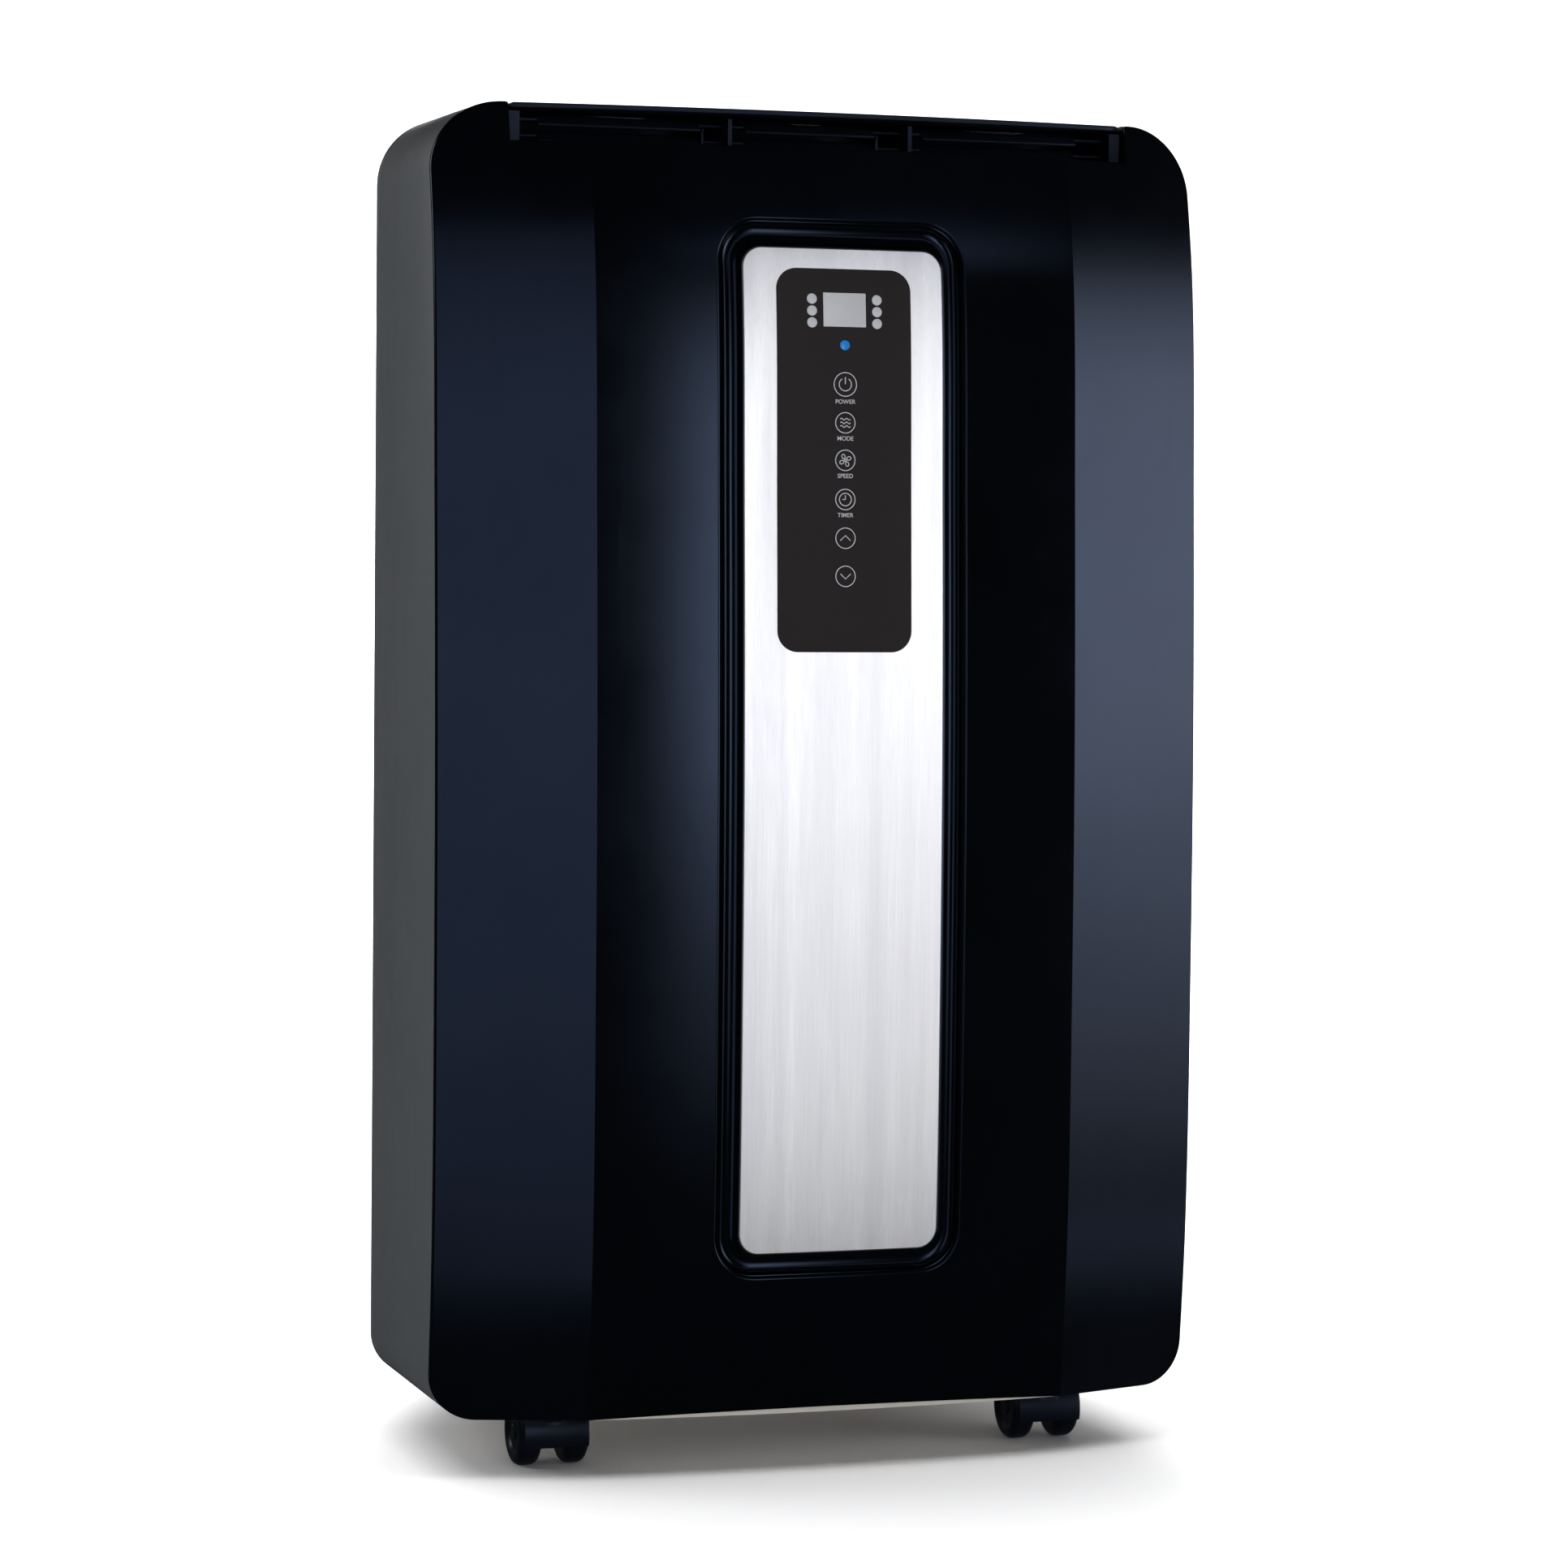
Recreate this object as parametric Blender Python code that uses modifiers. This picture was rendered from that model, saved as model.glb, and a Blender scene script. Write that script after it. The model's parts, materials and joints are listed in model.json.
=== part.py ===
"""Portable air conditioner on castors, built as an assembly of separate parts.

Units are metres and +Z is up. The front faces -Y, and the origin is on the floor at the middle of
the footprint. Every sub-part is its own object, and a moving one has its origin on its joint axis.
"""

from math import cos, pi, radians, sin, sqrt, tan

import bmesh
import bpy
from mathutils import Matrix, Vector

# --- Cabinet -------------------------------------------------------------------------------
HEIGHT = 0.790
HALF_WIDTH = 0.233
DEPTH = 0.370
FRONT = -DEPTH / 2
BACK = DEPTH / 2
UNDERSIDE = 0.0356
TOP_RADIUS = 0.040
BOTTOM_RADIUS = 0.026
FIT = 0.0003
SKIN = 0.003
SHELL = 0.0025

# --- Front panel: a crowned middle between two bands that fall back ---------------------------
STEP_X = 0.1456
BAND_FALL = tan(radians(17.1))
CROWN = 0.0085
STEP_Y = FRONT + CROWN
CAMBER = ((UNDERSIDE, 0.0105), (0.126, 0.0025), (0.262, 0.0), (0.413, 0.0010), (0.564, 0.0060),
          (0.699, 0.0135), (HEIGHT, 0.0313))
STATIONS = [0.046 + 0.036 * step for step in range(21)]
COLUMNS = (0.0, 0.026, 0.052, 0.078, 0.112, STEP_X)
ARCH = 0.003

# --- Recess, fascia and control panel ---------------------------------------------------------
RECESS_HALF = 0.0737
RECESS_LOW = 0.1175
RECESS_HIGH = 0.7245
RECESS_RADIUS = 0.0235
RECESS_WALL = 0.002
RECESS_DEPTH = 0.0072
FASCIA_HALF = 0.0607
FASCIA_LOW = 0.1300
FASCIA_HIGH = 0.7100
FASCIA_RADIUS = 0.012
FASCIA_THICK = 0.0015
PANEL_HALF = 0.0405
PANEL_LOW = 0.4780
PANEL_HIGH = 0.6975
PANEL_RADIUS = 0.012
PANEL_PROUD = 0.0008
PANEL_BACK = 0.0045

DISPLAY_HALF = 0.0129
DISPLAY_LOW = 0.6645
DISPLAY_HIGH = 0.6840
DOT_RADIUS = 0.0030
DOT_X = 0.0197
DOT_HEIGHTS = (0.6803, 0.6735, 0.6667)
STATUS_HEIGHT = 0.6540
KEYS = (("power", 0.6315, 0.0074), ("mode", 0.6095, 0.0065), ("speed", 0.5880, 0.0065),
        ("timer", 0.5655, 0.0065), ("up", 0.5433, 0.0065), ("down", 0.5214, 0.0065))
KEY_STEM_RADIUS = 0.002
BOARD_Y = -0.1600
BOARD_THICK = 0.0016

# --- Air outlet on top ------------------------------------------------------------------------
LIP_HEIGHT = 0.7675
SLOT_HALF = 0.1888
LID_HALF = 0.1865
LID_THICK = 0.0028
LID_FRONT = -0.1400
LID_SWEEP = 0.0125
HINGE_Y = -0.0450
HINGE_Z = 0.7855
FRAME_HALF = 0.1876
FRAME_FRONT = -0.1275
FRAME_REAR = -0.0495
FRAME_LOW = 0.7365
FRAME_HIGH = 0.7850
FRAME_FLOOR = 0.7665
CHAMBER_FRONT = -0.1040
END_BLOCK = 0.0064
DIVIDER_X = 0.0553
WALL = 0.0025
PIVOT_Y = -0.1150
PIVOT_HEIGHTS = {"upper": 0.7815, "lower": 0.7722}
PIVOT_RADIUS = 0.0012
BLADE_CHORD = 0.012
BLADE_THICK = 0.002
BLADE_TILT = radians(35)
BAYS = ((-0.1680, -0.0710, -0.1822, -0.0557), (-0.0435, 0.0360, -0.0549, 0.0549),
        (0.0660, 0.1630, 0.0557, 0.1822))
LINKS = {"left": -0.0705, "right": 0.0365}
LINK_CRANK = 0.005

# --- Rear shell and its fittings ---------------------------------------------------------------
SIDE_END = 0.0021
REAR_STATIONS = ((SIDE_END + 0.0005, HALF_WIDTH, UNDERSIDE, HEIGHT, BOTTOM_RADIUS, TOP_RADIUS),
                 (SIDE_END + 0.0065, HALF_WIDTH, UNDERSIDE, HEIGHT, BOTTOM_RADIUS, TOP_RADIUS),
                 (0.140, 0.180, 0.0376, 0.778, 0.030, 0.045),
                 (0.158, 0.171, 0.0410, 0.770, 0.030, 0.045),
                 (0.165, 0.160, 0.0500, 0.760, 0.028, 0.040))
REAR_FACE = REAR_STATIONS[-1][0]
GRILLE_HALF = 0.1245
GRILLES = {"upper": (0.5055, 0.7345), "lower": (0.0855, 0.3045)}
GRILLE_PROUD = 0.0015
SLOT_PITCH = 0.0195
COLLAR_Z = 0.405
COLLAR_RADIUS = 0.0665
DUCT_RADIUS = 0.062
PORT_X = 0.118
PORT_Z = 0.345
DRAIN_Z = 0.067
GRIP_Y = 0.075
GRIP_Z = 0.700

# --- Base and castors ---------------------------------------------------------------------------
BASE_LOW = 0.0352
BASE_HIGH = 0.050
BASE_HALF = 0.1972
BASE_REAR_HALF = 0.1572
BASE_REAR = 0.1492
WHEEL_RADIUS = 0.0195
WHEEL_INNER = 0.0068
WHEEL_OUTER = 0.0215
TRAIL = 0.0115
WELL_RADIUS = 0.0392
WELL_TOP = 0.0446
STEM_RADIUS = 0.0050
STEM_TOP = 0.0495
HOOD_RADIUS = 0.0225
HOOD_HALF = 0.0135
HOOD_BOTTOM = 0.0095
AXLE_RADIUS = 0.0025
CASTORS = {"front_left": (-0.1537, -0.1180), "front_right": (0.1537, -0.1180),
           "rear_left": (-0.1180, 0.0950), "rear_right": (0.1180, 0.0950)}

# --- Inside --------------------------------------------------------------------------------------
COIL_FRONT = 0.100
COIL_REAR = 0.140
COIL_HALF = 0.150
BLOWER_Z = 0.600
EXHAUST_FAN_Z = 0.215
FAN_FRONT = 0.030
FAN_REAR = 0.085
TRAY_LOW = 0.4765
TRAY_HIGH = 0.4865
COMPRESSOR_X = -0.115
COMPRESSOR_Y = -0.095
PIPE_X = -0.158
PIPE_Y = -0.030

# --- Finishes: colour, roughness, metallic --------------------------------------------------------
FINISHES = {
    "gloss_black": ((0.010, 0.012, 0.016), 0.25, 0.0),
    "satin_grey": ((0.055, 0.059, 0.062), 0.50, 0.0),
    "brushed_metal": ((0.62, 0.62, 0.64), 0.35, 1.0),
    "panel_black": ((0.017, 0.013, 0.014), 0.30, 0.0),
    "lens_grey": ((0.38, 0.39, 0.41), 0.35, 0.0),
    "lens_blue": ((0.004, 0.180, 0.510), 0.25, 0.0),
    "black_plastic": ((0.012, 0.013, 0.016), 0.45, 0.0),
    "base_grey": ((0.50, 0.47, 0.43), 0.55, 0.0),
    "castor_plastic": ((0.010, 0.012, 0.020), 0.40, 0.0),
    "rubber_black": ((0.015, 0.015, 0.015), 0.80, 0.0),
    "filter_mesh": ((0.020, 0.022, 0.025), 0.85, 0.0),
    "coil_metal": ((0.70, 0.70, 0.70), 0.40, 1.0),
    "foam_white": ((0.80, 0.80, 0.78), 0.80, 0.0),
    "fan_white": ((0.62, 0.63, 0.64), 0.50, 0.0),
    "motor_steel": ((0.45, 0.45, 0.46), 0.40, 1.0),
    "compressor_black": ((0.010, 0.010, 0.011), 0.35, 0.0),
    "board_green": ((0.010, 0.120, 0.045), 0.50, 0.0),
    "copper": ((0.75, 0.34, 0.20), 0.30, 1.0),
}


# --- Scene and finish helpers ----------------------------------------------------------------------

def clear_scene():
    for item in list(bpy.data.objects):
        bpy.data.objects.remove(item)


def make_collection(name):
    collection = bpy.data.collections.new(name)
    bpy.context.scene.collection.children.link(collection)
    return collection


def make_material(name, colour, roughness, metallic):
    material = bpy.data.materials.new(name)
    material.use_nodes = True
    shader = material.node_tree.nodes["Principled BSDF"]
    shader.inputs["Base Color"].default_value = (*colour, 1.0)
    shader.inputs["Roughness"].default_value = roughness
    shader.inputs["Metallic"].default_value = metallic
    material.diffuse_color = (*colour, 1.0)
    return material


clear_scene()
PARTS = make_collection("portable_air_conditioner")
CUTTERS = make_collection("cutters")


def mesh_object(name, bm, collection):
    """Turn a finished bmesh into an object, with its faces pointing outwards."""
    bmesh.ops.recalc_face_normals(bm, faces=bm.faces[:])
    mesh = bpy.data.meshes.new(name)
    bm.to_mesh(mesh)
    bm.free()
    item = bpy.data.objects.new(name, mesh)
    collection.objects.link(item)
    return item


def dress(item, finish, smooth=False):
    """Give a part its own material, and smooth shading where it is round."""
    item.data.materials.clear()
    item.data.materials.append(make_material(item.name + "_" + finish, *FINISHES[finish]))
    if smooth:
        item.data.shade_smooth()
    return item


def part(name, bm, finish):
    return dress(mesh_object(name, bm, PARTS), finish)


def tool(name, bm):
    """A solid that only cuts or joins parts."""
    return hide_tool(mesh_object(name, bm, CUTTERS))


def hide_tool(item):
    item.hide_render = True
    item.display_type = "WIRE"
    return item


def combine(item, other, operation):
    modifier = item.modifiers.new(operation.lower() + "_" + other.name, "BOOLEAN")
    modifier.operation = operation
    modifier.solver = "EXACT"
    modifier.object = other
    return item


def cut(item, other):
    return combine(item, other, "DIFFERENCE")


def join(item, other):
    return combine(item, other, "UNION")


def put_origin(item, point):
    """Move an object's origin to a point, with the mesh left where it is."""
    item.data.transform(Matrix.Translation(-Vector(point)))
    item.location = point
    return item


def freeze(item):
    """A mesh of an object as its modifiers leave it, for copies that share it."""
    graph = bpy.context.evaluated_depsgraph_get()
    return bpy.data.meshes.new_from_object(item.evaluated_get(graph))


# --- Solids added to a bmesh -------------------------------------------------------------------------

def add_box(bm, low, high):
    low = Vector(low)
    high = Vector(high)
    matrix = Matrix.Translation((low + high) / 2) @ Matrix.Diagonal((*(high - low), 1.0))
    bmesh.ops.create_cube(bm, size=1.0, matrix=matrix)


def add_cylinder(bm, start, end, radius, segments=24):
    start = Vector(start)
    along = Vector(end) - start
    turn = along.to_track_quat("Z", "Y").to_matrix().to_4x4()
    matrix = Matrix.Translation(start + along / 2) @ turn
    bmesh.ops.create_cone(bm, cap_ends=True, segments=segments, radius1=radius, radius2=radius,
                          depth=along.length, matrix=matrix)


def box(low, high):
    bm = bmesh.new()
    add_box(bm, low, high)
    return bm


def cylinder(start, end, radius, segments=24):
    bm = bmesh.new()
    add_cylinder(bm, start, end, radius, segments)
    return bm


def grid(columns, rows):
    """A flat grid, and for each of its points the column and row it stands in."""
    bm = bmesh.new()
    bmesh.ops.create_grid(bm, x_segments=columns - 1, y_segments=rows - 1, size=1.0)
    places = {}
    for vert in bm.verts:
        column = round((vert.co.x + 1) / 2 * (columns - 1))
        row = round((vert.co.y + 1) / 2 * (rows - 1))
        places[vert] = (column, row)
    return bm, places


def thicken(bm, push):
    """Close a sheet into a solid by extruding it along a vector."""
    made = bmesh.ops.extrude_face_region(bm, geom=bm.faces[:])
    moved = [item for item in made["geom"] if isinstance(item, bmesh.types.BMVert)]
    bmesh.ops.translate(bm, vec=push, verts=moved)


def turned(name, profile, place, axis, collection, steps=32):
    """Revolve a closed (radius, height) profile about an axis through a place."""
    mesh = bpy.data.meshes.new(name)
    points = [(radius, 0.0, height) for radius, height in profile]
    open_ends = profile[0][0] == 0.0 and profile[-1][0] == 0.0
    edges = [(index, index + 1) for index in range(len(points) - 1)]
    if not open_ends:
        edges.append((len(points) - 1, 0))
    mesh.from_pydata(points, edges, [])
    item = bpy.data.objects.new(name, mesh)
    collection.objects.link(item)
    item.location = place
    item.rotation_euler = Vector(axis).to_track_quat("Z", "Y").to_euler()
    screw = item.modifiers.new("turn", "SCREW")
    screw.axis = "Z"
    screw.angle = 2 * pi
    screw.steps = steps
    screw.render_steps = steps
    screw.use_merge_vertices = True
    screw.merge_threshold = 0.00001
    screw.use_smooth_shade = True
    return item


# --- The shape of the front ---------------------------------------------------------------------------

def camber(height):
    """How far the front stands behind its foremost line: a smooth curve through CAMBER."""
    height = min(max(height, CAMBER[0][0]), CAMBER[-1][0])
    last = len(CAMBER) - 1
    index = max(i for i in range(last) if CAMBER[i][0] <= height)

    def rise(i):
        return (CAMBER[i + 1][1] - CAMBER[i][1]) / (CAMBER[i + 1][0] - CAMBER[i][0])

    def slope(i):
        if i == 0:
            return rise(0)
        if i == last:
            return rise(last - 1)
        if rise(i - 1) * rise(i) <= 0:
            return 0.0
        return (rise(i - 1) + rise(i)) / 2

    low, back_low = CAMBER[index]
    high, back_high = CAMBER[index + 1]
    span = high - low
    t = (height - low) / span
    return (back_low * (2 * t ** 3 - 3 * t ** 2 + 1) + back_high * (3 * t ** 2 - 2 * t ** 3)
            + slope(index) * span * (t ** 3 - 2 * t ** 2 + t)
            + slope(index + 1) * span * (t ** 3 - t ** 2))


def front_y(x, z):
    """The front surface's y: crowned between the steps, falling back outside them."""
    side = abs(x)
    if side <= STEP_X:
        return STEP_Y + camber(z) - CROWN * (1 - (side / STEP_X) ** 2)
    return STEP_Y + camber(z) + (side - STEP_X) * BAND_FALL


def edge_x(z, half_width, low, high, low_radius, high_radius):
    """Half the width of a round-cornered outline at a height."""
    if z < low + low_radius:
        radius = low_radius
        drop = low + low_radius - z
    elif z > high - high_radius:
        radius = high_radius
        drop = z - high + high_radius
    else:
        return half_width
    return half_width - radius + sqrt(max(radius ** 2 - drop ** 2, 0.0))


def row_heights(low, high, low_radius, high_radius):
    """Heights of a plate's rows: close together round its corners, on STATIONS between them."""
    angles = [radians(step) for step in (0, 30, 60, 90)]
    rows = {low + low_radius * (1 - sin(angle)) for angle in angles}
    rows |= {high - high_radius * (1 - sin(angle)) for angle in angles}
    near = 0.006
    inside = [z for z in STATIONS if low + low_radius + near < z < high - high_radius - near]
    return sorted(rows | set(inside))


def front_sheet(half_width, low, high, low_radius, high_radius, offset):
    """A round-cornered sheet that follows the front at an offset behind it."""
    rows = row_heights(low, high, low_radius, high_radius)
    limit = half_width - max(low_radius, high_radius)
    inner = sorted({sign * x for x in COLUMNS if x < limit for sign in (-1, 1)})
    bm, places = grid(len(inner) + 2, len(rows))
    for vert, (column, row) in places.items():
        z = rows[row]
        edge = edge_x(z, half_width, low, high, low_radius, high_radius)
        x = ([-edge] + inner + [edge])[column]
        vert.co = (x, front_y(x, z) + offset, z)
    return bm


def front_plate(half_width, low, high, radius, front, back):
    """A closed plate on the front, between two offsets behind its surface."""
    bm = front_sheet(half_width, low, high, radius, radius, front)
    thicken(bm, (0, back - front, 0))
    return bm


def add_front_disc(bm, x, z, radius, front, back, segments=20):
    """A disc whose two faces follow the front at the given offsets."""
    before = set(bm.verts)
    add_cylinder(bm, (x, 0, z), (x, 1, z), radius, segments)
    for vert in set(bm.verts) - before:
        offset = front if vert.co.y < 0.5 else back
        vert.co.y = front_y(vert.co.x, vert.co.z) + offset


# --- Front panel, fascia and controls --------------------------------------------------------------------

def make_front_panel():
    bm = front_sheet(HALF_WIDTH, UNDERSIDE, HEIGHT, BOTTOM_RADIUS, TOP_RADIUS, 0.0)
    for vert in bm.verts:
        if vert.co.z < UNDERSIDE + 0.0001 and abs(vert.co.x) < STEP_X:
            vert.co.z += ARCH * (1 - (vert.co.x / STEP_X) ** 2)
    thicken(bm, (0, SKIN, 0))
    panel = part("front_panel", bm, "gloss_black")
    rim = RECESS_WALL / 2
    cut(panel, tool("recess_window", front_plate(
        RECESS_HALF + rim, RECESS_LOW - rim, RECESS_HIGH + rim, RECESS_RADIUS + rim, -0.004, 0.006)))
    tray = tool("recess_tray", front_plate(
        RECESS_HALF + RECESS_WALL, RECESS_LOW - RECESS_WALL, RECESS_HIGH + RECESS_WALL,
        RECESS_RADIUS + RECESS_WALL, 0.0005, RECESS_DEPTH + SKIN))
    cut(tray, tool("recess_space", front_plate(
        RECESS_HALF, RECESS_LOW, RECESS_HIGH, RECESS_RADIUS, -0.004, RECESS_DEPTH)))
    seat = FASCIA_THICK + 0.0008
    join(tray, tool("fascia_seat", front_plate(
        FASCIA_HALF - 0.0007, FASCIA_LOW + 0.0007, FASCIA_HIGH - 0.0007, FASCIA_RADIUS,
        seat, RECESS_DEPTH + SKIN / 2)))
    join(panel, tray)
    cut(panel, tool("control_window", front_plate(
        PANEL_HALF + FIT, PANEL_LOW - FIT, PANEL_HIGH + FIT, PANEL_RADIUS + FIT, -0.01, 0.02)))
    cut(panel, tool("outlet_notch", box((-SLOT_HALF, -0.2, LIP_HEIGHT), (SLOT_HALF, 0, 0.85))))
    return panel


def make_fascia():
    fascia = part("fascia_plate", front_plate(
        FASCIA_HALF, FASCIA_LOW, FASCIA_HIGH, FASCIA_RADIUS, 0.0, FASCIA_THICK), "brushed_metal")
    return cut(fascia, bpy.data.objects["control_window"])


def make_control_panel():
    panel = part("control_panel", front_plate(
        PANEL_HALF, PANEL_LOW, PANEL_HIGH, PANEL_RADIUS, -PANEL_PROUD, PANEL_BACK), "panel_black")
    holes = bmesh.new()
    for _, z, radius in KEYS:
        add_front_disc(holes, 0.0, z, radius + FIT, -0.003, 0.008)
    for side in (-1, 1):
        for z in DOT_HEIGHTS:
            add_front_disc(holes, side * DOT_X, z, DOT_RADIUS + FIT, -0.003, 0.008, 16)
    add_front_disc(holes, 0.0, STATUS_HEIGHT, DOT_RADIUS + FIT, -0.003, 0.008, 16)
    cut(panel, tool("control_holes", holes))
    pocket = box((-DISPLAY_HALF - FIT, FRONT, DISPLAY_LOW - FIT),
                 (DISPLAY_HALF + FIT, front_y(0, DISPLAY_LOW) + 0.0020, DISPLAY_HIGH + FIT))
    return cut(panel, tool("display_pocket", pocket))


def make_display():
    face = front_y(0, DISPLAY_LOW) - PANEL_PROUD
    low = (-DISPLAY_HALF, face, DISPLAY_LOW)
    high = (DISPLAY_HALF, face + 0.0024, DISPLAY_HIGH)
    return part("display_window", box(low, high), "lens_grey")


def make_lenses():
    lens = bmesh.new()
    add_front_disc(lens, 0.0, STATUS_HEIGHT, DOT_RADIUS, -PANEL_PROUD, PANEL_BACK, 16)
    part("status_lens", lens, "lens_blue")
    for side, name in ((-1, "indicator_left"), (1, "indicator_right")):
        pips = bmesh.new()
        for z in DOT_HEIGHTS:
            add_front_disc(pips, side * DOT_X, z, DOT_RADIUS, -PANEL_PROUD, PANEL_BACK + 0.0020, 16)
        strip = part(name, pips, "lens_grey")
        back = front_y(DOT_X, DOT_HEIGHTS[0]) + PANEL_BACK
        bar = box((side * DOT_X - 0.002, back + 0.0005, DOT_HEIGHTS[-1] - 0.002),
                  (side * DOT_X + 0.002, back + 0.0025, DOT_HEIGHTS[0] + 0.002))
        join(strip, tool(name + "_bar", bar))


def make_keys():
    for name, z, radius in KEYS:
        cap = bmesh.new()
        add_front_disc(cap, 0.0, z, radius, -PANEL_PROUD, 0.0012)
        key = part("key_" + name, cap, "panel_black")
        face = front_y(0.0, z)
        stem = cylinder((0, face + 0.0006, z), (0, BOARD_Y - 0.0012, z), KEY_STEM_RADIUS, 12)
        join(key, tool("key_" + name + "_stem", stem))
        put_origin(key, (0.0, face, z))


def make_control_board():
    board = box((-0.036, BOARD_Y, 0.485), (0.036, BOARD_Y + BOARD_THICK, 0.690))
    return part("control_board", board, "board_green")


# --- Air outlet: frame, louvres, links and lid ----------------------------------------------------------------

def curved_front_plate(half_width, rear, low, high, front_of):
    """A level plate whose front edge follows a curve y = front_of(x)."""
    xs = sorted({sign * x for x in COLUMNS if x < half_width for sign in (-1, 1)})
    xs = [-half_width] + xs + [half_width]
    bm, places = grid(len(xs), 2)
    for vert, (column, row) in places.items():
        x = xs[column]
        vert.co = (x, rear if row else front_of(x), low)
    thicken(bm, (0, 0, high - low))
    return bm


def make_outlet_frame():
    frame = part("outlet_frame", box(
        (-FRAME_HALF, FRAME_FRONT, FRAME_LOW), (FRAME_HALF, FRAME_REAR, FRAME_HIGH)), "black_plastic")
    inner = FRAME_HALF - WALL
    edge = DIVIDER_X - WALL / 2
    chambers = bmesh.new()
    bays = bmesh.new()
    for low, high in ((-inner, -edge - WALL), (-edge, edge), (edge + WALL, inner)):
        add_box(chambers, (low, CHAMBER_FRONT, 0.70), (high, FRAME_REAR - WALL, 0.82))
        left = max(low, -FRAME_HALF + END_BLOCK)
        right = min(high, FRAME_HALF - END_BLOCK)
        add_box(bays, (left, -0.15, FRAME_FLOOR), (right, CHAMBER_FRONT + 0.002, 0.80))
    add_box(bays, (-0.2, -0.15, 0.70), (0.2, CHAMBER_FRONT - WALL, FRAME_FLOOR - WALL))
    cut(frame, tool("outlet_chambers", chambers))
    cut(frame, tool("outlet_bays", bays))
    apron = curved_front_plate(SLOT_HALF - 0.0012, FRAME_FRONT + 0.002, FRAME_FLOOR - WALL,
                               FRAME_FLOOR - 0.0004,
                               lambda x: front_y(x, LIP_HEIGHT) + SKIN + FIT)
    join(frame, tool("outlet_apron", apron))
    ears = bmesh.new()
    for side in (-1, 1):
        low = min(side * 0.1836, side * FRAME_HALF)
        add_box(ears, (low, FRAME_REAR - 0.001, 0.7765), (low + FRAME_HALF - 0.1836, -0.0410, 0.7868))
    join(frame, tool("hinge_ears", ears))
    holes = bmesh.new()
    for height in PIVOT_HEIGHTS.values():
        add_cylinder(holes, (-0.2, PIVOT_Y, height), (0.2, PIVOT_Y, height), PIVOT_RADIUS + FIT, 12)
    add_cylinder(holes, (-0.2, HINGE_Y, HINGE_Z), (0.2, HINGE_Y, HINGE_Z), 0.0018, 16)
    cut(frame, tool("pivot_holes", holes))


def make_louvres():
    for number, (start, end, pin_start, pin_end) in enumerate(BAYS, start=1):
        for level, height in PIVOT_HEIGHTS.items():
            bm = box((start, -BLADE_CHORD / 2, -BLADE_THICK / 2), (end, BLADE_CHORD / 2, BLADE_THICK / 2))
            name = "louvre_" + str(number) + "_" + level
            blade = part(name, bm, "black_plastic")
            round_edges(blade, 0.0008)
            pin = tool(name + "_pin", cylinder((pin_start, PIVOT_Y, height), (pin_end, PIVOT_Y, height),
                                               PIVOT_RADIUS, 12))
            join(blade, pin)
            blade.location = (0.0, PIVOT_Y, height)
            blade.rotation_euler = (BLADE_TILT, 0.0, 0.0)


def round_edges(item, width, segments=2):
    bevel = item.modifiers.new("rounding", "BEVEL")
    bevel.width = width
    bevel.segments = segments
    bevel.limit_method = "ANGLE"
    bevel.angle_limit = radians(60)
    return item


def make_louvre_links():
    """Upright rods that tie the two blades of a bay together, hung on the lower blade's crank."""
    reach_y = -LINK_CRANK * cos(BLADE_TILT)
    reach_z = -LINK_CRANK * sin(BLADE_TILT)
    low = PIVOT_HEIGHTS["lower"] + reach_z
    high = PIVOT_HEIGHTS["upper"] + reach_z
    for side, x in LINKS.items():
        bm = box((x, PIVOT_Y + reach_y - 0.0013, low - 0.0014), (x + 0.0015, PIVOT_Y + reach_y + 0.0013,
                                                               high + 0.0014))
        link = part("louvre_link_" + side, bm, "black_plastic")
        put_origin(link, (x, PIVOT_Y + reach_y, low))


def make_lid():
    def lid_front(x):
        return LID_FRONT + LID_SWEEP * (x / LID_HALF) ** 2

    bm = curved_front_plate(LID_HALF, HINGE_Y + 0.001, HEIGHT - LID_THICK, HEIGHT, lid_front)
    lid = part("air_lid", bm, "black_plastic")
    notches = bmesh.new()
    for side in (-1, 1):
        add_box(notches, (side * 0.1865 - 0.0032, -0.0490, 0.78), (side * 0.1865 + 0.0032, -0.03, 0.80))
    cut(lid, tool("lid_notches", notches))
    join(lid, tool("lid_barrel", cylinder((-0.1830, HINGE_Y, HINGE_Z), (0.1830, HINGE_Y, HINGE_Z), 0.0024, 16)))
    join(lid, tool("lid_pin", cylinder((-0.1866, HINGE_Y, HINGE_Z), (0.1866, HINGE_Y, HINGE_Z), 0.0014, 16)))
    put_origin(lid, (0.0, HINGE_Y, HINGE_Z))


def make_top_deck():
    deck = part("top_deck", box((-SLOT_HALF + 0.0006, -0.0405, HEIGHT - 0.0035),
                                (SLOT_HALF - 0.0006, SIDE_END - FIT, HEIGHT)), "satin_grey")
    return deck


# --- Side and rear shells ----------------------------------------------------------------------------------------

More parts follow.
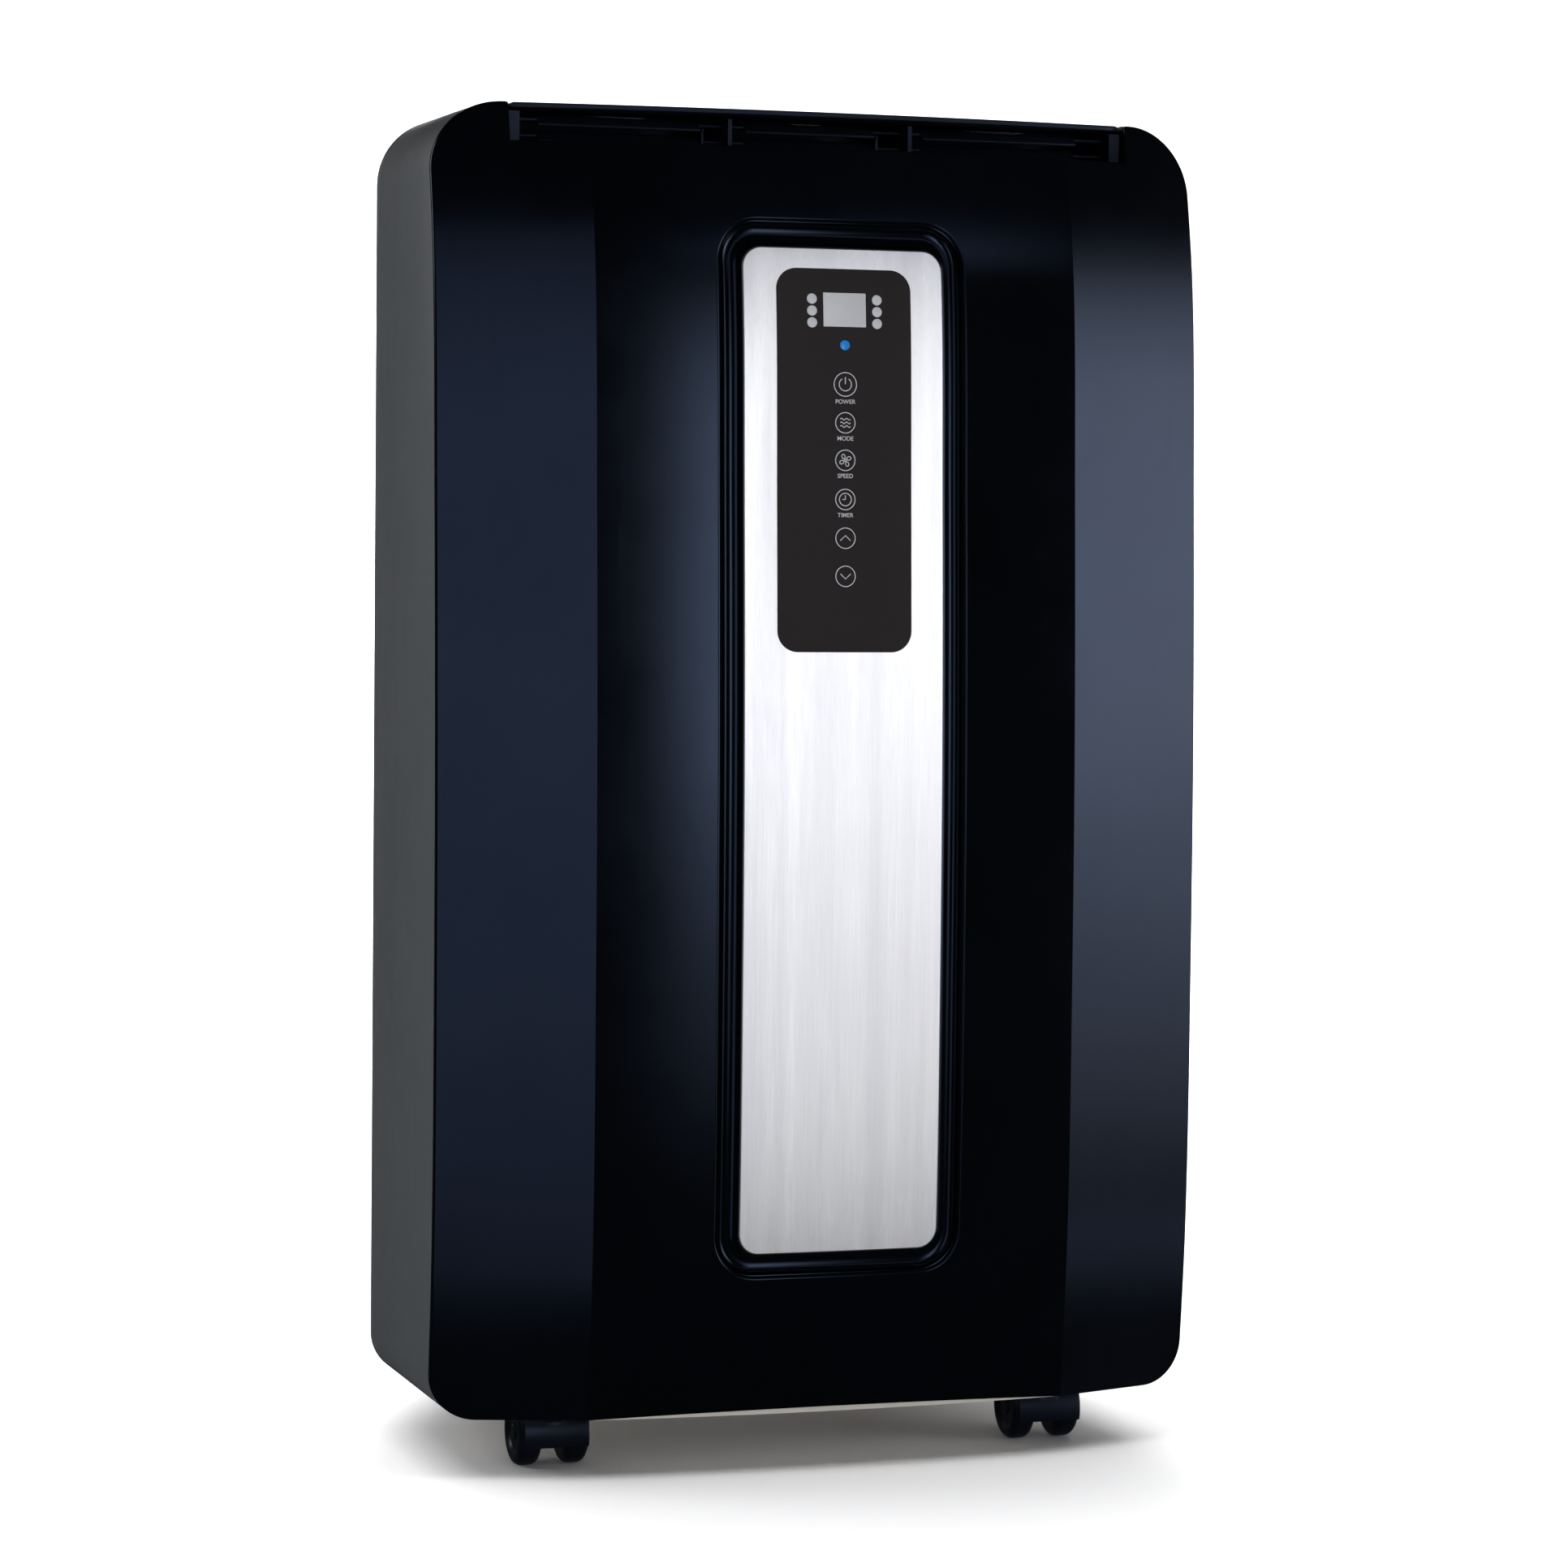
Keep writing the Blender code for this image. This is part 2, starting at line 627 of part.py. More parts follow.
def side_path():
    """The side shell's section from its top edge, round both corners, to its bottom edge."""
    path = [(SLOT_HALF, HEIGHT)]
    centre_x = HALF_WIDTH - TOP_RADIUS
    for step in range(7):
        angle = radians(90 - 15 * step)
        path.append((centre_x + TOP_RADIUS * cos(angle), HEIGHT - TOP_RADIUS + TOP_RADIUS * sin(angle)))
    low = UNDERSIDE + BOTTOM_RADIUS
    path += [(HALF_WIDTH, z) for z in reversed(STATIONS) if low + 0.01 < z < HEIGHT - TOP_RADIUS - 0.01]
    centre_x = HALF_WIDTH - BOTTOM_RADIUS
    for step in range(6):
        angle = radians(-18 * step)
        path.append((centre_x + BOTTOM_RADIUS * cos(angle), low + BOTTOM_RADIUS * sin(angle)))
    path.append((BASE_HALF + 0.0006, UNDERSIDE))
    return path


def make_side_shell(name, side):
    path = side_path()
    bm, places = grid(2, len(path))
    for vert, (column, row) in places.items():
        x, z = path[row]
        y = SIDE_END if column else front_y(x, z) + SKIN + FIT
        vert.co = (side * x, y, z)
    face_outwards(bm, Vector((0, 0, HEIGHT / 2)))
    return shell_part(name, bm, "satin_grey")


def face_outwards(bm, centre):
    """Turn a sheet's faces so that they point away from a point inside it."""
    bmesh.ops.recalc_face_normals(bm, faces=bm.faces[:])
    widest = max(bm.faces, key=lambda face: face.calc_area())
    if widest.normal.dot(widest.calc_center_median() - centre) < 0:
        bmesh.ops.reverse_faces(bm, faces=bm.faces[:])


def shell_part(name, bm, finish):
    """A part from an outer sheet, thickened inwards."""
    mesh = bpy.data.meshes.new(name)
    bm.to_mesh(mesh)
    bm.free()
    item = bpy.data.objects.new(name, mesh)
    PARTS.objects.link(item)
    wall = item.modifiers.new("wall", "SOLIDIFY")
    wall.thickness = SHELL
    wall.offset = -1.0
    wall.use_even_offset = True
    return dress(item, finish)


def rounded_section(half_width, low, high, low_radius, high_radius, y):
    """A closed round-cornered section across the cabinet."""
    corners = ((half_width - high_radius, high - high_radius, high_radius, 0),
               (-half_width + high_radius, high - high_radius, high_radius, 90),
               (-half_width + low_radius, low + low_radius, low_radius, 180),
               (half_width - low_radius, low + low_radius, low_radius, 270))
    section = []
    for x, z, radius, start in corners:
        for step in range(6):
            angle = radians(start + 18 * step)
            section.append((x + radius * cos(angle), y, z + radius * sin(angle)))
    return section


def make_rear_shell():
    """A loft through the rear sections, closed by the flat rear face."""
    bm = bmesh.new()
    rings = []
    for y, half_width, low, high, low_radius, high_radius in REAR_STATIONS:
        section = rounded_section(half_width, low, high, low_radius, high_radius, y)
        rings.append([bm.verts.new(point) for point in section])
    for ring, following in zip(rings, rings[1:]):
        for index in range(len(ring)):
            after = (index + 1) % len(ring)
            bm.faces.new((ring[index], ring[after], following[after], following[index]))
    bm.faces.new(rings[-1])
    face_outwards(bm, Vector((0, 0.08, HEIGHT / 2)))
    shell = shell_part("rear_shell", bm, "satin_grey")
    holes = bmesh.new()
    for low, high in GRILLES.values():
        add_box(holes, (-GRILLE_HALF - 0.0005, 0.150, low - 0.0005), (GRILLE_HALF + 0.0005, 0.2, high + 0.0005))
    add_cylinder(holes, (0, 0.150, COLLAR_Z), (0, 0.2, COLLAR_Z), COLLAR_RADIUS + 0.0008, 32)
    for x, z in ((-PORT_X, PORT_Z), (PORT_X, PORT_Z), (0, DRAIN_Z)):
        add_cylinder(holes, (x, 0.150, z), (x, 0.2, z), 0.0064, 16)
    add_box(holes, (-BASE_REAR_HALF - 0.0006, -0.02, 0.0), (BASE_REAR_HALF + 0.0006, BASE_REAR + 0.0006, 0.052))
    cups = bmesh.new()
    hollows = bmesh.new()
    for side in (-1, 1):
        add_grip(cups, side, 0.048, 0.022, -0.0245, -0.0010)
        add_grip(hollows, side, 0.0455, 0.0195, -0.0220, 0.0100)
    join(shell, tool("grip_cups", cups))
    cut(shell, tool("grip_hollows", hollows))
    cut(shell, tool("rear_openings", holes))


def add_grip(bm, side, half_length, half_height, inner, outer):
    """A box square to the slanted side of the rear shell, for the hand grip."""
    first = REAR_STATIONS[1]
    second = REAR_STATIONS[2]
    run = Vector((second[1] - first[1], second[0] - first[0], 0))
    share = (GRIP_Y - first[0]) / run.y
    surface = Vector((first[1] + share * run.x, GRIP_Y, GRIP_Z))
    along = run.normalized()
    outward = Vector((along.y, -along.x, 0))
    centre = surface + outward * (inner + outer) / 2
    turn = Matrix((outward, along, Vector((0, 0, 1)))).transposed().to_4x4()
    size = Matrix.Diagonal((outer - inner, 2 * half_length, 2 * half_height, 1))
    matrix = Matrix.Translation(centre) @ turn @ size
    if side < 0:
        matrix = Matrix.Diagonal((-1, 1, 1, 1)) @ matrix
    bmesh.ops.create_cube(bm, size=1.0, matrix=matrix)


def make_grilles():
    """A slotted intake cover for each coil, and the air filter that clips in behind it."""
    for name, (low, high) in GRILLES.items():
        front = REAR_FACE + GRILLE_PROUD
        grille = part("intake_grille_" + name, box(
            (-GRILLE_HALF, 0.1605, low), (GRILLE_HALF, front, high)), "satin_grey")
        slots = bmesh.new()
        count = int((high - low - 0.02) / SLOT_PITCH)
        start = (low + high) / 2 - SLOT_PITCH * (count - 1) / 2
        for row in range(count):
            z = start + SLOT_PITCH * row
            for side in (-1, 1):
                x = side * 0.0600
                add_box(slots, (x - 0.0560, 0.15, z - 0.0055), (x + 0.0560, 0.18, z + 0.0055))
        cut(grille, tool("grille_slots_" + name, slots))
        put_origin(grille, (0, front, (low + high) / 2))
        air_filter = part("air_filter_" + name, box(
            (-GRILLE_HALF + 0.003, 0.1550, low + 0.003), (GRILLE_HALF - 0.003, 0.1595, high - 0.003)),
            "filter_mesh")
        put_origin(air_filter, (0, 0.1595, (low + high) / 2))


def make_rear_fittings():
    outer = REAR_FACE + 0.0004
    collar = turned("exhaust_collar", (
        (DUCT_RADIUS, BACK), (COLLAR_RADIUS, BACK), (COLLAR_RADIUS, outer + 0.0032), (0.0790, outer + 0.0032),
        (0.0790, outer), (COLLAR_RADIUS, outer), (COLLAR_RADIUS, 0.1505), (DUCT_RADIUS, 0.1505)),
        (0, 0, COLLAR_Z), (0, 1, 0), PARTS, 32)
    dress(collar, "black_plastic")
    gland = turned("cord_gland", (
        (0.0036, 0.1810), (0.0055, 0.1810), (0.0070, outer + 0.0030), (0.0095, outer + 0.0030),
        (0.0095, outer), (0.0060, outer), (0.0060, 0.1520), (0.0036, 0.1520)),
        (PORT_X, 0, PORT_Z), (0, 1, 0), PARTS, 20)
    dress(gland, "rubber_black")
    for name, x, z in (("drain_cap_upper", -PORT_X, PORT_Z), ("drain_cap_lower", 0.0, DRAIN_Z)):
        cap = turned(name, (
            (0.0, 0.0050), (0.0090, 0.0050), (0.0105, 0.0035), (0.0105, 0.0), (0.0060, 0.0),
            (0.0060, -0.0125), (0.0, -0.0125)), (x, outer, z), (0, 1, 0), PARTS, 20)
        dress(cap, "rubber_black")


# --- Base and castors ----------------------------------------------------------------------------------------------

def make_base():
    bm = curved_front_plate(BASE_HALF, SIDE_END - FIT, BASE_LOW, BASE_HIGH,
                            lambda x: front_y(x, UNDERSIDE) + SKIN + FIT)
    base = part("base_tray", bm, "base_grey")
    join(base, tool("base_rear", box((-BASE_REAR_HALF, -0.01, BASE_LOW), (BASE_REAR_HALF, BASE_REAR, BASE_HIGH))))
    wells = bmesh.new()
    for x, y in CASTORS.values():
        add_cylinder(wells, (x, y, 0.0), (x, y, WELL_TOP), WELL_RADIUS, 24)
    cut(base, tool("castor_wells", wells))
    holes = bmesh.new()
    for x, y in CASTORS.values():
        add_cylinder(holes, (x, y, 0.0), (x, y, 0.1), STEM_RADIUS + FIT, 20)
    add_box(holes, (-0.075, -0.140, BASE_LOW + 0.003), (0.075, 0.090, 0.1))
    cut(base, tool("base_holes", holes))


def castor_body_mesh():
    """Hood, web, stem and axle of a castor, about its swivel axis at floor level."""
    axle = Vector((0, TRAIL, WHEEL_RADIUS))
    reach = Vector((HOOD_HALF, 0, 0))
    body = mesh_object("castor_master", cylinder(axle - reach, axle + reach, HOOD_RADIUS, 24), CUTTERS)
    wheel_space = bmesh.new()
    for side in (-1, 1):
        near = axle + Vector((side * (WHEEL_INNER - 0.0012), 0, 0))
        far = axle + Vector((side * 0.03, 0, 0))
        add_cylinder(wheel_space, near, far, WHEEL_RADIUS + 0.0007, 24)
    cut(body, tool("castor_wheel_space", wheel_space))
    below = box((-0.04, -0.04, -0.02), (0.04, 0.06, HOOD_BOTTOM))
    cut(body, tool("castor_below", below))
    behind = box((-0.04, TRAIL + 0.0065, 0.0), (0.04, 0.06, WHEEL_RADIUS + 0.009))
    cut(body, tool("castor_behind", behind))
    stem = cylinder((0, 0, 0.0300), (0, 0, STEM_TOP), STEM_RADIUS, 20)
    join(body, tool("castor_stem", stem))
    pin = Vector((WHEEL_OUTER - 0.0014, 0, 0))
    join(body, tool("castor_axle", cylinder(axle - pin, axle + pin, AXLE_RADIUS, 16)))
    mesh = freeze(body)
    bpy.data.objects.remove(body)
    return mesh


def castor_wheel_mesh():
    """A wheel about its own centre, with its blind bore open towards -X."""
    half = (WHEEL_OUTER - WHEEL_INNER) / 2
    bore = AXLE_RADIUS + FIT
    rim = WHEEL_RADIUS
    wheel = turned("wheel_master", (
        (0.0, half), (rim - 0.0045, half), (rim - 0.0013, half - 0.0022), (rim, half - 0.0055),
        (rim, -half + 0.0050), (rim - 0.0022, -half + 0.0012), (rim - 0.0060, -half),
        (bore, -half), (bore, half - 0.0008), (0.0, half - 0.0008)), (0, 0, 0), (1, 0, 0), CUTTERS, 20)
    mesh = freeze(wheel)
    mesh.transform(wheel.rotation_euler.to_matrix().to_4x4())
    bpy.data.objects.remove(wheel)
    return mesh


def make_castors():
    body_mesh = castor_body_mesh()
    wheel_mesh = castor_wheel_mesh()
    mirrored = wheel_mesh.copy()
    mirrored.transform(Matrix.Rotation(pi, 4, "Z"))
    middle = (WHEEL_OUTER + WHEEL_INNER) / 2
    for place, (x, y) in CASTORS.items():
        pieces = (("body", body_mesh, (x, y, 0.0)),
                  ("wheel_left", mirrored, (x - middle, y + TRAIL, WHEEL_RADIUS)),
                  ("wheel_right", wheel_mesh, (x + middle, y + TRAIL, WHEEL_RADIUS)))
        for piece, mesh, location in pieces:
            item = bpy.data.objects.new("castor_" + place + "_" + piece, mesh.copy())
            PARTS.objects.link(item)
            item.location = location
            dress(item, "castor_plastic")


# --- Inside: refrigeration and fans -----------------------------------------------------------------------------------

def make_coils():
    part("evaporator_coil", box((-COIL_HALF, COIL_FRONT, 0.4800), (COIL_HALF, COIL_REAR, 0.7400)), "coil_metal")
    part("condenser_coil", box((-COIL_HALF, COIL_FRONT, BASE_HIGH + FIT), (COIL_HALF, COIL_REAR, 0.3120)),
         "coil_metal")


def make_drip_tray():
    tray = part("drip_tray", box((-0.165, -0.100, TRAY_LOW), (0.165, 0.143, TRAY_HIGH)), "foam_white")
    hollow = bmesh.new()
    add_box(hollow, (-0.1515, 0.0975, TRAY_LOW + 0.003), (0.1515, 0.1412, 0.6))
    add_cylinder(hollow, (PIPE_X, PIPE_Y, 0.4), (PIPE_X, PIPE_Y, 0.6), 0.0045, 16)
    cut(tray, tool("tray_hollow", hollow))


def make_air_paths():
    """Housings that lead the air: up to the outlet, and back to the exhaust collar."""
    scroll = part("blower_scroll", box((-0.110, 0.015, 0.500), (0.110, 0.095, 0.7000)), "foam_white")
    duct = tool("scroll_duct", box((-0.165, -0.105, 0.6950), (0.165, 0.095, 0.7335)))
    join(scroll, duct)
    inside = tool("scroll_inside", box((-0.107, 0.018, 0.503), (0.107, 0.092, 0.7050)))
    join(inside, tool("duct_inside", box((-0.162, -0.102, 0.6980), (0.162, 0.092, 0.7305))))
    cut(scroll, inside)
    ports = bmesh.new()
    add_cylinder(ports, (0, 0.08, BLOWER_Z), (0, 0.11, BLOWER_Z), 0.070, 32)
    add_cylinder(ports, (0, 0.00, BLOWER_Z), (0, 0.03, BLOWER_Z), 0.008, 16)
    add_box(ports, (-0.160, -0.100, 0.72), (0.160, -0.0545, 0.75))
    cut(scroll, tool("scroll_ports", ports))
    shroud = part("fan_shroud", box((-0.100, 0.015, 0.105), (0.100, 0.095, 0.335)), "foam_white")
    join(shroud, tool("shroud_duct", box((-0.072, 0.015, 0.330), (0.072, 0.1500, 0.474))))
    inside = tool("shroud_inside", box((-0.097, 0.018, 0.108), (0.097, 0.092, 0.332)))
    join(inside, tool("shroud_duct_inside", box((-0.069, 0.018, 0.320), (0.069, 0.147, 0.471))))
    cut(shroud, inside)
    ports = bmesh.new()
    add_cylinder(ports, (0, 0.08, EXHAUST_FAN_Z), (0, 0.11, EXHAUST_FAN_Z), 0.070, 32)
    add_cylinder(ports, (0, 0.00, EXHAUST_FAN_Z), (0, 0.03, EXHAUST_FAN_Z), 0.008, 16)
    add_cylinder(ports, (0, 0.14, COLLAR_Z), (0, 0.16, COLLAR_Z), DUCT_RADIUS, 32)
    cut(shroud, tool("shroud_ports", ports))


def make_fan(name, z, radius):
    """A drum wheel: a back plate, a slotted rim and a front ring in one moulding."""
    depth = FAN_REAR - FAN_FRONT
    wheel = turned(name, (
        (0.0, 0.004), (radius - 0.008, 0.004), (radius - 0.008, depth), (radius, depth), (radius, 0.0),
        (0.0, 0.0)), (0, FAN_FRONT, z), (0, 1, 0), PARTS, 36)
    slots = bmesh.new()
    for step in range(18):
        angle = 2 * pi * step / 18
        turn = Matrix.Translation((0, 0, z)) @ Matrix.Rotation(angle, 4, "Y")
        middle = (FAN_FRONT + FAN_REAR) / 2
        matrix = turn @ Matrix.Translation((radius, middle + 0.001, 0)) @ Matrix.Diagonal((0.04, 0.042, 0.010, 1))
        bmesh.ops.create_cube(slots, size=1.0, matrix=matrix)
    cut(wheel, tool(name + "_slots", slots))
    dress(wheel, "fan_white")


def make_motor(name, z):
    motor = turned(name, (
        (0.0, 0.072), (0.040, 0.072), (0.045, 0.066), (0.045, 0.006), (0.040, 0.0), (0.0, 0.0)),
        (0, -0.060, z), (0, 1, 0), PARTS, 28)
    join(motor, tool(name + "_shaft", cylinder((0, 0.0, z), (0, FAN_FRONT - 0.0004, z), 0.004, 12)))
    dress(motor, "motor_steel")


def make_compressor():
    x = COMPRESSOR_X
    y = COMPRESSOR_Y
    compressor = turned("compressor", (
        (0.0, 0.248), (0.020, 0.246), (0.042, 0.236), (0.053, 0.215), (0.055, 0.190), (0.055, 0.050),
        (0.050, 0.030), (0.036, 0.012), (0.0, 0.012)), (x, y, BASE_HIGH), (0, 0, 1), PARTS, 28)
    feet = box((x - 0.045, y - 0.045, BASE_HIGH + FIT), (x + 0.045, y + 0.045, BASE_HIGH + 0.014))
    join(compressor, tool("compressor_feet", feet))
    dress(compressor, "compressor_black")


def make_refrigerant_line():
    """The copper suction line from the compressor's top, up through the tray, to the evaporator."""
    top = BASE_HIGH + 0.2485
    points = ((COMPRESSOR_X, COMPRESSOR_Y, top), (COMPRESSOR_X, COMPRESSOR_Y, top + 0.045),
              (COMPRESSOR_X - 0.008, COMPRESSOR_Y + 0.010, top + 0.065),
              (PIPE_X + 0.008, PIPE_Y - 0.012, top + 0.085), (PIPE_X, PIPE_Y, top + 0.105),
              (PIPE_X, PIPE_Y, 0.640), (PIPE_X, PIPE_Y + 0.008, 0.655), (PIPE_X, PIPE_Y + 0.022, 0.660),
              (PIPE_X, COIL_FRONT - 0.018, 0.660), (PIPE_X + 0.004, COIL_FRONT - 0.006, 0.660),
              (PIPE_X + 0.014, COIL_FRONT - 0.0042, 0.660))
    curve = bpy.data.curves.new("refrigerant_line", "CURVE")
    curve.dimensions = "3D"
    curve.bevel_depth = 0.003
    curve.bevel_resolution = 2
    curve.use_fill_caps = True
    line = curve.splines.new("POLY")
    line.points.add(len(points) - 1)
    for point, place in zip(line.points, points):
        point.co = (*place, 1.0)
    item = bpy.data.objects.new("refrigerant_line", curve)
    PARTS.objects.link(item)
    dress_curve(item, "copper")


def dress_curve(item, finish):
    item.data.materials.append(make_material(item.name + "_" + finish, *FINISHES[finish]))


# --- Assembly ----------------------------------------------------------------------------------------------------------------

make_front_panel()
make_fascia()
make_control_panel()
make_display()
make_lenses()
make_keys()
make_control_board()
make_outlet_frame()
make_louvres()
make_louvre_links()
make_lid()
make_top_deck()
make_side_shell("side_shell_left", -1)
make_side_shell("side_shell_right", 1)
make_rear_shell()
make_grilles()
make_rear_fittings()
make_base()
make_castors()
make_coils()
make_drip_tray()
make_air_paths()
make_fan("blower_wheel", BLOWER_Z, 0.082)
make_fan("exhaust_fan", EXHAUST_FAN_Z, 0.080)
make_motor("blower_motor", BLOWER_Z)
make_motor("exhaust_fan_motor", EXHAUST_FAN_Z)
make_compressor()
make_refrigerant_line()
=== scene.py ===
"""Looks of the portable air conditioner: smooth mouldings, finishes, studio and camera.

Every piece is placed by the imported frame, rides on one of its bodies, and is modelled with
Blender's mesh operators. Mouldings on the crowned front are shaped flat first, with y = 0 as the
surface, and are then laid on the front's curve.
"""

import json
import logging
from contextlib import contextmanager
from dataclasses import dataclass, field
from enum import Enum
from math import cos, pi, radians, sin, tan
from typing import Callable, Iterable, Iterator, NamedTuple, Sequence

import bmesh
import bpy
from mathutils import Matrix, Vector

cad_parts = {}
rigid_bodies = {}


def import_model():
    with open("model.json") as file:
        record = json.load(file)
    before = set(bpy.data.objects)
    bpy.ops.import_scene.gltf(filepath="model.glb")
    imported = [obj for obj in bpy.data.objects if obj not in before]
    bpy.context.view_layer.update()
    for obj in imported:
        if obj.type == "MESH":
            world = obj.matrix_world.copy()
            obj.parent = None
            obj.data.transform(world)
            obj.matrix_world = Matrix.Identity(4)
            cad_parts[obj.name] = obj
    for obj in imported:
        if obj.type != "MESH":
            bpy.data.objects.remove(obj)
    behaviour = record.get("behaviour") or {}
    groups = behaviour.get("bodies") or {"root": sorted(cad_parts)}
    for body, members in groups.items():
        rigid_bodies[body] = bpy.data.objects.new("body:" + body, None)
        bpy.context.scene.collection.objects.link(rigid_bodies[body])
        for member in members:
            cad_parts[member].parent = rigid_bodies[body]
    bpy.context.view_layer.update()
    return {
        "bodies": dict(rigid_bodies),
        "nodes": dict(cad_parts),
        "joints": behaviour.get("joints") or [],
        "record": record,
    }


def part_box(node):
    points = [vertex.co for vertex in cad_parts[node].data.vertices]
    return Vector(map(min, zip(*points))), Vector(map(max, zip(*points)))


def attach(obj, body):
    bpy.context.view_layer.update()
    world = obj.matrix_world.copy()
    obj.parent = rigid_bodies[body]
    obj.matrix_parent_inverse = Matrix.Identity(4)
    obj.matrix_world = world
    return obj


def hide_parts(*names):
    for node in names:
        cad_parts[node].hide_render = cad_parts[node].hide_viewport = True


log = logging.getLogger("air_conditioner")

TINY = 1e-5
MM = 0.001
SMOOTH_ANGLE = radians(32)
KEY_NAMES = ("power", "mode", "speed", "timer", "up", "down")
CONTROL_PIECES = ("control_overlay", "display_lens", "receiver_lens", "indicator_pips_left",
                  "indicator_pips_right", *("touch_" + key for key in KEY_NAMES),
                  *("legend_" + key for key in KEY_NAMES), *("label_" + key for key in KEY_NAMES[:4]))

Piece = bpy.types.Object
FaceTest = Callable[[Vector, Vector], bool]
EdgeTest = Callable[[bmesh.types.BMEdge], bool]


class Side(Enum):
    """The two sides of the cabinet, as signs of x."""

    LEFT = -1
    RIGHT = 1

    @property
    def label(self) -> str:
        """The side's name in lower case, as the frame's nodes spell it."""
        return self.name.lower()


# --- Finishes ---


def linear(code: str) -> tuple[float, float, float, float]:
    """Turn an sRGB hex colour into linear RGBA.

    Args:
        code: six hex digits, with or without a leading #.

    Returns:
        The colour as Blender's sockets hold it.
    """
    digits = code.lstrip("#")
    values = [int(digits[i:i + 2], 16) / 255 for i in (0, 2, 4)]
    curve = [v / 12.92 if v <= 0.04045 else ((v + 0.055) / 1.055) ** 2.4 for v in values]
    return (*curve, 1.0)


def per_metre(size_mm: float) -> float:
    """How many features of a size in millimetres fit in a metre, which is a texture's scale."""
    return 1.0 / (size_mm * MM)


def wave_scale(pitch_mm: float) -> float:
    """The scale at which a wave texture, 20 radians a unit long, repeats at a pitch."""
    return per_metre(pitch_mm) * 2 * pi / 20


def add_node(tree: bpy.types.NodeTree, kind: str, settings: dict | None = None,
             links: dict | None = None) -> bpy.types.Node:
    """Add one node with its settings and links.

    Args:
        tree: the node tree to add to.
        kind: the node's type name.
        settings: values by socket name or number, or by the node's own property.
        links: sockets to link from, by the name or number of the input they feed.

    Returns:
        The new node.
    """
    node = tree.nodes.new(kind)
    for key, value in (settings or {}).items():
        if isinstance(key, int) or key in node.inputs:
            node.inputs[key].default_value = value
        else:
            setattr(node, key, value)
    for key, source in (links or {}).items():
        tree.links.new(source, node.inputs[key])
    return node


def new_material(name: str, settings: dict) -> tuple[
        bpy.types.Material, bpy.types.NodeTree, bpy.types.NodeSocket]:
    """Make a material whose Principled shader has constant values on its own sockets.

    Args:
        name: the material's name.
        settings: socket values of the shader.

    Returns:
        The material, its node tree, and the piece's own coordinates to pattern it by.
    """
    material = bpy.data.materials.new(name)
    material.use_nodes = True
    tree = material.node_tree
    for key, value in settings.items():
        tree.nodes["Principled BSDF"].inputs[key].default_value = value
    return material, tree, add_node(tree, "ShaderNodeTexCoord").outputs["Object"]


def feed_shader(tree: bpy.types.NodeTree, sources: dict[str, bpy.types.NodeSocket]) -> None:
    """Link a material's patterns to its Principled shader.

    Args:
        tree: the material's node tree.
        sources: the sockets to link from, by the name of the shader's input.
    """
    shader = tree.nodes["Principled BSDF"]
    for key, source in sources.items():
        tree.links.new(source, shader.inputs[key])


@dataclass(frozen=True)
class MouldedPlastic:
    """Injection-moulded ABS: a flow-mottled colour, a fine mould grain and rubbed patches.

    The grain gives the eye a soft sparkle up close, and the cloudy roughness breaks up the
    reflection as on a handled case.
    """

    name: str
    slot: str
    colour: str
    mottle: str
    roughness: float
    spread: float = 0.05
    grain_mm: float = 1.2
    relief_mm: float = 0.02
    cloud_mm: float = 70.0
    scuffs: float = 0.10
    gloss: float = 0.5
    # the colour given to its reflections; a blue one is painted reflection colour of bluish light
    tint: str = "FFFFFF"

    def build(self) -> bpy.types.Material:
        """Make the material.

        Returns:
            The new material.
        """
        material, tree, place = new_material(self.name, {
            "IOR": 1.5, "Specular IOR Level": self.gloss, "Specular Tint": linear(self.tint)})
        cloud = add_node(tree, "ShaderNodeTexNoise", {
            "Scale": per_metre(self.cloud_mm), "Detail": 3.0, "Roughness": 0.55}, {"Vector": place})
        grain = add_node(tree, "ShaderNodeTexNoise", {
            "Scale": per_metre(self.grain_mm), "Detail": 2.0}, {"Vector": place})
        stretched = add_node(tree, "ShaderNodeMapping", {"Scale": (1.0, 1.0, 0.12)}, {"Vector": place})
        scuff = add_node(tree, "ShaderNodeTexNoise", {
            "Scale": per_metre(9.0), "Detail": 4.0, "Roughness": 0.7},
            {"Vector": stretched.outputs["Vector"]})
        rubbed = add_node(tree, "ShaderNodeMapRange", {
            "From Min": 0.60, "From Max": 0.78, "To Min": 0.0, "To Max": self.scuffs},
            {"Value": scuff.outputs["Fac"]})
        base = add_node(tree, "ShaderNodeMapRange", {
            "From Min": 0.3, "From Max": 0.7, "To Min": self.roughness - self.spread,
            "To Max": self.roughness + self.spread}, {"Value": cloud.outputs["Fac"]})
        rough = add_node(tree, "ShaderNodeMath", {"operation": "ADD", "use_clamp": True}, {
            0: base.outputs["Result"], 1: rubbed.outputs["Result"]})
        colour = add_node(tree, "ShaderNodeMix", {
            "data_type": "RGBA", 6: linear(self.colour), 7: linear(self.mottle)},
            {0: cloud.outputs["Fac"]})
        bump = add_node(tree, "ShaderNodeBump", {
            "Strength": 0.6, "Distance": self.relief_mm * MM}, {"Height": grain.outputs["Fac"]})
        feed_shader(tree, {"Base Color": colour.outputs[2], "Roughness": rough.outputs["Value"],
                           "Normal": bump.outputs["Normal"]})
        return material


